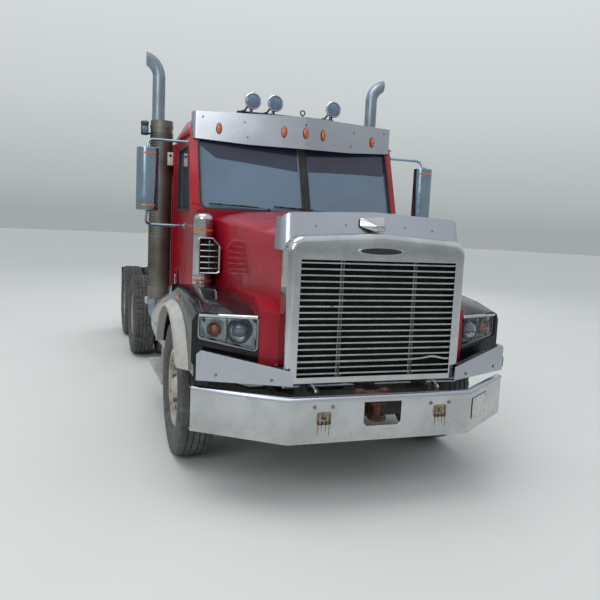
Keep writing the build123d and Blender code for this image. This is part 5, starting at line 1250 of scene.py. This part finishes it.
class TRACTOR_OT_mirrors(Making, bpy.types.Operator):
    """Mirror glasses, amber strips, arm clamps and feet"""
    bl_idname = "tractor.mirrors"
    bl_label = "Mirrors"

    def execute(self, context):
        back, front, low, high = 2120, 2030, 1925, 2465
        for side, name in SIDES:
            bm = bmesh.new()
            x = side * 1345
            # upper glass, and a round-cornered wide-angle glass below it, both facing rearwards
            for z0, z1 in ((low + 190, high - 20), (low + 20, low + 175)):
                middle, half = (z0 + z1) / 2, (z1 - z0) / 2
                outer, inner = [[(x + u, back, middle + v) for u, v in round_outline(*size)]
                                for size in ((84, half + 2, 16), (78, half - 4, 12))]
                ring_frame(bm, outer, inner, BACK, 5, 2, 1)
                plate_shape(bm, round_outline(79, half - 3, 12), (x, back + 3, middle), (-1, 0, 0), UP, 3)
            # amber strips follow the bowed front
            section = ((-4, -7), (-6, 0), (-4, 7), (3, 8), (3, -8))
            for z in (high - 52, low + 44):
                skin(bm, [[(x + u, front + u * u / 203 + dy, z + dz) for dy, dz in section]
                          for u in [-62 + 15.5 * k for k in range(9)]], 2, ends=(2, 2))
            # clamps on the arms and their feet on the door
            for z in (high - 6, low + 6):
                turned(bm, [(-16, 12.2), (-16, 18), (16, 18), (16, 12.2)], (x, front + 50, z), "z", 20, 3)
            foot = [(0, 34), (5, 34), (9, 29), (11, 18), (24, 14.5), (24, 12.2), (0, 12.2)]
            for y, z in ((back + 40, high + 77), (back + 130, low - 125)):
                turned(bm, foot, (side * 985.4, y, z), (side, 0, 0), 24, 3)
            piece(f"mirror_dress_{name}", bm, ("mirror", "rubber", "amber", "bolt"), f"door_{name}", 35)
        return {"FINISHED"}


class TRACTOR_OT_roof_lamps(Making, bpy.types.Operator):
    """Work lamps on the roof bar with their struts, the lifting eye, and the right stack's side lamp and bracket"""
    bl_idname = "tractor.roof_lamps"
    bl_label = "Roof lamps"

    def execute(self, context):
        bm = bmesh.new()
        y, low, z = 2360, 2870, 2981            # the struts, the bar's foot and the lamps' middle
        bar = [(1.5, -0.9), (1.6, 0), (1.5, 0.9), (0, 1), (-1.5, 0.9), (-1.6, 0), (-1.5, -0.9)]
        tube(bm, [(-505, y + 20, low + 12), (458, y + 20, low + 12)], 12, section=bar, paint=2)
        for x in (-480, 0, 340):
            slab(bm, (x - 20, x + 20), (y - 10, y + 50), (2800.4, 2872), 4, 2)
            slab(bm, (x - 34, x + 34), (y - 22, y + 62), (2800.4, 2806), 2, 2)
        shell = [(-55, 0), (-53, 26), (-40, 54), (-16, 70), (-4, 77), (4, 78), (12, 77), (16, 72), (16, 66), (9, 62)]
        for x in (-375, -158, 430):
            turned(bm, shell, (x, 2305, z), AHEAD, 40)
            turned(bm, [(9, 63), (14, 52), (18, 28), (19, 0)], (x, 2305, z), AHEAD, 40, 1)
            slab(bm, (x - 12, x + 12), (y - 18, y + 24), (low + 8, z - 46), 4, 2)
            # the lamp's diagonal stay
            tube(bm, [(x - 92, y + 14, low + 22), (x - 60, y + 4, low + 30), (x - 46, y - 24, z - 52)], 9, 12, 8, 2)
        # lifting eye on its post
        tube(bm, [(100, 2250, 2795), (100, 2250, 2890)], 9, 0, 10, 2)
        eye = [(100 + u, 2250, 2910 + v) for u, v in oval(22, 22, 20)]
        tube(bm, eye + eye[:1], 6, 0, 8, 2)
        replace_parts(piece("roof_work_lamps", bm, ("chrome", "lamp_glass", "lamp_black"), "chassis", 38),
                    "roof_lamps")
        # square work lamp with a bright cap, on an arm from the right stack's shield
        bm = bmesh.new()
        slab(bm, (-1322, -1252), (3000, 3062), (2672, 2790), 12, 0, None, 3)
        slab(bm, (-1326, -1248), (2994, 3066), (2772, 2810), 17, 1, None, 3)
        plate_shape(bm, round_outline(24, 34, 10), (-1287, 2999, 2724), ACROSS, UP, 3, 1, 2)
        tube(bm, [(-1250, 3030, 2690), (-1226, 3030, 2690)], 10, 0, 10, 0)
        piece("stack_side_lamp", bm, ("lamp_black", "chrome", "lamp_glass"), "chassis", 38)
        # pale bracket plate on the right shield
        bm = bmesh.new()
        slab(bm, (-1070, -1012), (2928, 2934), (2385, 2512), 3, 0)
        # a disc of painted shade marks the hole in it
        turned(bm, [(0, 13), (3, 13), (3, 8), (0, 8)], (-1042, 2927, 2480), facing=AHEAD, steps=20, paint=1)
        piece("shield_bracket", bm, ("plate", "dark"), "chassis", 35)
        return {"FINISHED"}


class TRACTOR_OT_intakes(Making, bpy.types.Operator):
    """Chrome intake frames with their slats on the hood, painted shade in their recesses, and the bands of the air
    cleaners behind them
    """
    bl_idname = "tractor.intakes"
    bl_label = "Intakes"

    def execute(self, context):
        bm = bmesh.new()
        # (x, z) of the frame's front, seen from ahead; its upper inner corner is cut away
        corners = [(-1010, 1432), (-1010, 1730), (-890, 1730), (-826, 1662), (-826, 1450), (-850, 1432)]
        outline = filleted(corners, [14, 18, 30, 30, 20, 20], 4)
        front, back = 1393, 1480
        rings = ((19, front + 42), (19, front + 5), (16, front + 1), (9, front - 2), (3, front), (0, front + 5),
                 (0, back))
        # the opening's back is closed by a cap of painted shade
        skin(bm, [[(x, y, z) for x, z in (inset(outline, by) if by else outline)] for by, y in rings], ends=(1, 0))
        # joins it to the hood's side, in painted-shade black for the shadow there
        slab(bm, (-840, -790), (front + 50, back), (1460, 1650), 8, 1)
        for z in range(1478, 1667, 47):
            slab(bm, (-992, -847 if z < 1660 else -880), (front + 1, front + 26), (z - 5, z + 5), 3, 0,
                 Matrix.Rotation(radians(-18), 4, "X"))
        # a thin upright of painted shade across the slats
        slab(bm, (-918, -910), (front + 22, front + 30), (1452, 1712), 1.5, 1)
        mirrored(bm)
        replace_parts(piece("intake_frames", bm, ("chrome", "dark"), "hood", 32), "intakes")
        bm = bmesh.new()
        for z, half, paint in ((1782, 9, 0), (1748, 4, 1), (1842, 3, 1), (1372, 9, 0), (1412, 4, 1), (1330, 4, 1),
                               (1240, 12, 1)):
            turned(bm, [(-half, 80), (-half, 82.5), (half, 82.5), (half, 80)], (-940, 1570, z), "z", 48, paint)
        mirrored(bm)
        piece("air_cleaner_bands", bm, ("amber", "bolt"), "chassis", 35)
        return {"FINISHED"}


class TRACTOR_OT_side_dress(Making, bpy.types.Operator):
    """Cab side extenders, rain gutters, door handles, tank caps and the raised lugs of deck and steps"""
    bl_idname = "tractor.side_dress"
    bl_label = "Side dress"

    def execute(self, context):
        bm = bmesh.new()
        slab(bm, (-1003, -984), (2940, 3215), (1180, 2596), 3, 0)
        slab(bm, (-997, -983), (2130, 2850), (2614, 2624), 3, 0)
        mirrored(bm)
        piece("cab_extenders", bm, "red", "chassis", 35)
        for side, name in SIDES:
            bm = bmesh.new()
            at, out = Vector((side * 999.2, 2640, 1276)), Vector((side, 0, 0))
            plate_shape(bm, round_outline(46, 76, 20), at, (0, -side, 0), UP, 3, 1)
            # the handle's recess is a plate of painted shade
            plate_shape(bm, round_outline(33, 60, 16), at + out * 0.4, (0, -side, 0), UP, 3, 0, 1)
            slab(bm, sorted((side * 1001, side * 1015)), (2632, 2652), (1226, 1322), 5, 0)
            turned(bm, [(0, 11), (4, 11), (5, 8), (5, 0)], at + out + Vector((0, 0, 96)), out, 20)
            piece(f"door_handle_{name}", bm, ("chrome", "dark"), f"door_{name}", 35)
        # filler cap with its neck on the shoulder of each round tank, and a drain plug below
        bm = bmesh.new()
        out, back = Vector((-sin(radians(35)), 0, cos(radians(35)))), Vector(BACK)
        foot = Vector((-889, 2180, 825)) + out * 310
        turned(bm, [(-6, 58), (10, 58), (12, 52), (16, 52), (18, 60), (38, 60), (42, 54), (42, 0)], foot, out, 36)
        for u, v in oval(60, 60, 12):
            grip = foot + out * 28 + back * u + out.cross(back) * v
            tube(bm, [grip - out * 9, grip + out * 9], 3.5, 0, 8)
        turned(bm, [(0, 20), (10, 20), (12, 16), (12, 0)], (-889, 2400, 514.5), (0, 0, -1), 6, 1)
        mirrored(bm)
        piece("tank_caps", bm, ("aluminium", "bolt"), "chassis", 35)
        pitch = self.pattern.lug_pitch * 1000
        half_deck = int(1230 / pitch)
        lugs = []
        for row in range(int(800 / pitch)):
            for column in range(-half_deck, half_deck + 1):
                x, y = column * pitch, 2980 + row * pitch
                beside_stack = hypot(abs(x) - 1155, y - STACK_Y) < 90
                if not ((abs(x) > 845 and y > 3135) or y > 3745 or beside_stack):
                    lugs.append((x, y, 1036.6, row + column))
        lugs += [(side * (1106 + column * pitch), 1936 + row * pitch, 437.6, row + column)
                 for side in (-1, 1) for row in range(int(970 / pitch)) for column in range(3)]
        lugs = [((x, y, z), (1, 1 if turn % 2 else -1, 0)) for x, y, z, turn in lugs]
        slats("tread_lugs", lugs, 26, 3.2, 7, 1.5, "aluminium", "chassis")
        return {"FINISHED"}


class TRACTOR_OT_rear_dress(Making, bpy.types.Operator):
    """Frame bolts, tail lamps, and the coupling's jaws, grease and release handle"""
    bl_idname = "tractor.rear_dress"
    bl_label = "Rear dress"

    def execute(self, context):
        pairs, threes = (820, 970), (800, 890, 980)
        rows = ((3860, pairs), (4330, pairs), (4640, pairs), (5000, (860, 930)), (5230, threes), (5460, threes),
                (5980, (860, 930)), (6380, (860, 930)), (6740, threes), (6980, threes), (7380, pairs), (7640, pairs))
        places = [((432, y + step, z), ACROSS) for y, heights in rows for z in heights for step in (-28, 28)]
        bolts("frame_bolts", both_sides(places), 11, 9, 17, 6, "bolt", "chassis", "frame_black")
        bm = bmesh.new()
        for x, paint in ((-360, 0), (-235, 0), (-110, 1), (110, 1), (235, 0), (360, 0)):
            turned(bm, [(-2, 50), (6, 50), (8, 46), (4, 43)], (x, 7750, 900), BACK, 32, 2)
            turned(bm, [(3, 44), (7, 40), (9, 22), (9.5, 0)], (x, 7750, 900), BACK, 32, paint)
        piece("tail_lamps", bm, ("red_lens", "lens", "rubber"), "chassis", 40)
        # grease on the plate, and the jaws closed round the pin's place
        bm = bmesh.new()
        patch = filleted([(150, -330), (330, -300), (390, -60), (360, 190), (170, 170), (110, -80)], 70)
        jaw = [(r * sin(radians(a)), r * cos(radians(a)))
               for r, turns in ((62, range(8, 173, 15)), (28, range(172, 7, -15))) for a in turns]
        for side in (-1, 1):
            plate_shape(bm, [(side * u, v) for u, v in patch], (0, 6060, 1260.6), ACROSS, BACK, 0.8, 0.3)
            plate_shape(bm, [(side * u, v) for u, v in jaw], (0, 6050, 1232), ACROSS, BACK, 34, 2, 1)
        # release handle with its ring
        tube(bm, [(-430, 5820, 1190), (-520, 5820, 1190), (-560, 5850, 1190), (-600, 5850, 1190)], 9, 20, 10, 1)
        ring = [(-622 + u, 5850 + v, 1190) for u, v in oval(24, 24, 16)]
        tube(bm, ring + ring[:1], 7, 0, 8, 1)
        for x, y in ((-300, 5700), (300, 5700), (-380, 6160), (380, 6160)):
            turned(bm, [(0, 9), (4, 9), (7, 5), (8, 0)], (x, y, 1260.2), "z", 12, 1)
        piece("coupling_dress", bm, ("grease", "rusty"), "fifth_wheel", 40)
        return {"FINISHED"}


class TRACTOR_OT_engine_bay(Making, bpy.types.Operator):
    """Rocker cover, pipes and hoses, fan and radiator fins, seen when the hood is tilted"""
    bl_idname = "tractor.engine_bay"
    bl_label = "Engine bay"

    def execute(self, context):
        bm = bmesh.new()
        slab(bm, (-150, 150), (760, 1440), (1688, 1700), 4, 0)
        slab(bm, (-132, 132), (775, 1425), (1698, 1762), 18, 0, None, 3)
        for k in range(6):
            slab(bm, (-118, 118), (830 + k * 105, 846 + k * 105), (1758, 1770), 4, 0)
        turned(bm, [(0, 38), (16, 38), (20, 34), (20, 0)], (60, 800, 1762), "z", 24, 1)
        # exhaust manifold, its six ports and the turbine
        tube(bm, [(-385, 800, 1450), (-385, 1400, 1450)], 42, 0, 16, 2)
        for k in range(6):
            tube(bm, [(-345, 830 + k * 108, 1450), (-385, 830 + k * 108, 1450)], 28, 0, 12, 2)
        turned(bm, [(-60, 60), (-52, 96), (-20, 108), (20, 108), (52, 96), (60, 60), (60, 0)], (-400, 1130, 1340), "y",
               28, 2)
        tube(bm, [(-400, 1190, 1340), (-400, 1330, 1330), (-400, 1480, 1180), (-400, 1520, 1080)], 46, 90, 16, 2)
        # intake manifold and its charge pipe
        slab(bm, (345, 420), (800, 1400), (1420, 1520), 20, 0, None, 3)
        tube(bm, [(385, 820, 1500), (385, 700, 1560), (400, 600, 1560)], 45, 60, 16, 3)
        # coolant hoses, oil filters, belt pulleys
        tube(bm, [(-300, 520, 1590), (-300, 580, 1640), (-220, 680, 1650), (-160, 745, 1650)], 34, 50, 16, 3)
        tube(bm, [(300, 566, 900), (300, 600, 900), (240, 680, 880)], 34, 30, 16, 3)
        oil_filter = [(-120, 0), (-118, 44), (-110, 50), (90, 50), (94, 56), (104, 56), (104, 0)]
        for y in (900, 1020):
            turned(bm, oil_filter, (410, y, 1150), "z", 28, 4)
        groove = ((-22, 6), (-22, 0), (-8, 0), (0, 9), (8, 0), (22, 0))
        for x, z, radius in ((0, 940, 120), (-170, 1200, 80), (180, 1260, 66)):
            turned(bm, [*[(along, radius - deep) for along, deep in groove], (22, 0)], (x, 618, z), "y", 32, 4)
        piece("engine_dress", bm, ("engine", "lamp_black", "rusty", "hose", "iron"), "chassis", 40)
        bm = bmesh.new()
        hub = Vector((0, 588, 1210))
        turned(bm, [(-20, 0), (-20, 70), (20, 70), (20, 0)], hub, "y", 28)
        for u, v in oval(1, 1, 8):
            across, out = Vector((u, 0, v)), Vector((-v, 0, u))
            blade = [hub + out * reach + across * half + Vector((0, half * 0.25, 0))
                     for reach, half in ((60, -34), (60, 34), (330, 52), (330, -52))]
            skin(bm, [[corner + Vector((0, dy, 0)) for corner in blade] for dy in (-2, 2)], ends=(0, 0))
        piece("radiator_fan", bm, "lamp_black", "chassis", 40)
        fins = [((0, 393, 815 + k * 14), ACROSS) for k in range(60)]
        slats("radiator_fins", fins, 980, 2, 5, 0.8, "aluminium", "chassis")
        return {"FINISHED"}


class TRACTOR_OT_interior(Making, bpy.types.Operator):
    """Padded seats on their pedestals and the dashboard's gauges"""
    bl_idname = "tractor.interior"
    bl_label = "Interior"

    def execute(self, context):
        bm = bmesh.new()
        for x in (-SEAT_X, SEAT_X):
            slab(bm, (x - 178, x + 178), (2364, 2726), (1211, 1250), 8, 0)
            for k in range(5):      # rubber bellows of the air suspension
                fold = k % 2
                slab(bm, (x - 160 + 14 * fold, x + 160 - 14 * fold), (2380 + 12 * fold, 2710 - 12 * fold),
                     (1250 + k * 50, 1300 + k * 50), 16, 1, None, 3)
            slab(bm, (x - 178, x + 178), (2364, 2726), (1500, 1566), 10, 0)
        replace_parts(piece("seat_pedestals", bm, ("plastic", "rubber"), "chassis", 35), "seats")
        cushion = self.pad("seat_cushion", (238, 238, 46), (0, 2540, 1628), 0, "z")
        back = self.pad("seat_back", (228, 40, 298), (0, 2800, 1950), -8, "y")
        for x in (-SEAT_X, SEAT_X):
            for mesh in (cushion, back):
                copy = mesh.copy()
                copy.transform(Matrix.Translation((x / 1000, 0, 0)))
                copy.name = f"{mesh.name}_{'left' if x > 0 else 'right'}"
                pad = set_piece(copy.name, copy, "cloth", "chassis", 60)
                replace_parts(pad, "seats")
        # gauges on the face of the dashboard, before the driver
        bm = bmesh.new()
        for x, z, radius in ((420, 1763, 52), (540, 1763, 52), (330, 1773, 28), (330, 1713, 28), (630, 1773, 28),
                             (630, 1713, 28)):
            turned(bm, [(-2, radius), (6, radius), (8, radius - 5), (3, radius - 7)], (x, 2080, z), BACK)
            turned(bm, [(2.5, radius - 6), (3, 0)], (x, 2080, z), BACK, 32, 1)
        for k in range(6):
            slab(bm, (-150 + k * 34, -126 + k * 34), (2079, 2088), (1700, 1740), 3, 1)
        piece("dash_gauges", bm, ("chrome", "lamp_black"), "chassis", 35)
        return {"FINISHED"}

    @staticmethod
    def pad(name, half, centre, lean, crown):
        """A stuffed pad: a smaller block is blown up as cloth with its back held, then its channels are sewn in."""
        cap, voxel, frames = 0.024, 0.009, 20               # the most it swells, its faces' size, in metres
        channel_at, channel_half = 0.085, 0.009
        scene = bpy.context.scene

        def shown(obj):
            """The object with what its modifiers make of it."""
            return obj.evaluated_get(bpy.context.evaluated_depsgraph_get())

        bm = bmesh.new()
        slab(bm, *[(-h, h) for h in half], 18, 0, None, 4)
        for vert in bm.verts:
            vert.co /= 1000
        start = bpy.data.meshes.new(name + "_start")
        bm.to_mesh(start)
        bm.free()
        block = bpy.data.objects.new(name + "_block", start)
        scene.collection.objects.link(block)
        remesh = block.modifiers.new("Voxels", "REMESH")
        remesh.mode, remesh.voxel_size = "VOXEL", voxel
        even = bpy.data.meshes.new_from_object(shown(block))
        bpy.data.objects.remove(block)
        blown = bpy.data.objects.new(name + "_blown", even)
        scene.collection.objects.link(blown)
        rest = [v.co.copy() for v in even.vertices]
        axis = "xyz".index(crown)
        towards = 1 if crown == "z" else -1                 # the side that is sat on or leant against
        held = [n for n, co in enumerate(rest) if co[axis] * towards < -half[axis] / 1000 * 0.8]
        blown.vertex_groups.new(name="held").add(held, 1.0, "REPLACE")
        cloth = blown.modifiers.new("Cloth", "CLOTH")
        cloth.settings.quality = 5
        cloth.settings.use_pressure = True
        cloth.settings.uniform_pressure_force = 4
        cloth.settings.effector_weights.gravity = 0
        cloth.settings.vertex_group_mass = "held"
        cloth.point_cache.frame_start, cloth.point_cache.frame_end = 1, frames
        for number in range(1, frames + 1):
            scene.frame_set(number)
        placed = []
        for old, vert in zip(rest, shown(blown).to_mesh().vertices):
            move = vert.co - old
            placed.append(old + move * min(1.0, cap / max(move.length, 1e-9)))
        bpy.data.objects.remove(blown)
        scene.frame_set(1)
        for co in placed:
            if co[axis] * towards > 0:
                for line in (-channel_at, channel_at):
                    co[axis] -= towards * channel_half * exp(-((co.x - line) / channel_half) ** 2)
        even.vertices.foreach_set("co", [c for co in placed for c in co])
        bm = bmesh.new()
        bm.from_mesh(even)
        bmesh.ops.smooth_vert(bm, verts=bm.verts, factor=0.4, use_axis_x=True, use_axis_y=True, use_axis_z=True)
        bmesh.ops.subdivide_edges(bm, edges=bm.edges, cuts=1, use_grid_fill=True, smooth=0.6)
        x, y, z = [c / 1000 for c in centre]
        bm.transform(Matrix.Translation((x, y - HALF_LENGTH, z)) @ Matrix.Rotation(radians(lean), 4, "X"))
        bm.to_mesh(even)
        bm.free()
        even.name = name
        return even


class TRACTOR_PT_panel(bpy.types.Panel):
    """Lists the sizes, the colours and the making steps in the sidebar"""
    bl_idname = "TRACTOR_PT_panel"
    bl_label = "Tractor unit"
    bl_space_type = "VIEW_3D"
    bl_region_type = "UI"
    bl_category = "Tractor unit"

    def draw(self, context):
        for group in (context.scene.tractor_paint, context.scene.tractor_tyres, context.scene.tractor_pattern):
            box = self.layout.box()
            for name in group.__annotations__:
                box.prop(group, name)
        for step in STEPS:
            self.layout.operator(step.bl_idname)


GROUPS = {"tractor_paint": PaintColours, "tractor_tyres": TyreSizes, "tractor_pattern": PatternSizes}
STEPS = (TRACTOR_OT_stage, TRACTOR_OT_paintwork, TRACTOR_OT_panels, TRACTOR_OT_glazing, TRACTOR_OT_tyres,
         TRACTOR_OT_wheel_trim, TRACTOR_OT_grille, TRACTOR_OT_headlamps, TRACTOR_OT_bumper, TRACTOR_OT_stacks,
         TRACTOR_OT_brightwork, TRACTOR_OT_visor, TRACTOR_OT_mirrors, TRACTOR_OT_roof_lamps, TRACTOR_OT_intakes,
         TRACTOR_OT_side_dress, TRACTOR_OT_rear_dress, TRACTOR_OT_engine_bay, TRACTOR_OT_interior)


def register():
    for group in GROUPS.values():
        bpy.utils.register_class(group)
    for name, group in GROUPS.items():
        setattr(bpy.types.Scene, name, PointerProperty(type=group))
    for step in (*STEPS, TRACTOR_PT_panel):
        bpy.utils.register_class(step)


def unregister():
    for step in (TRACTOR_PT_panel, *reversed(STEPS)):
        bpy.utils.unregister_class(step)
    for name in GROUPS:
        delattr(bpy.types.Scene, name)
    for group in GROUPS.values():
        bpy.utils.unregister_class(group)


def main():
    register()
    for step in STEPS:
        family, name = step.bl_idname.split(".")
        getattr(getattr(bpy.ops, family), name)()


if __name__ == "__main__":
    main()
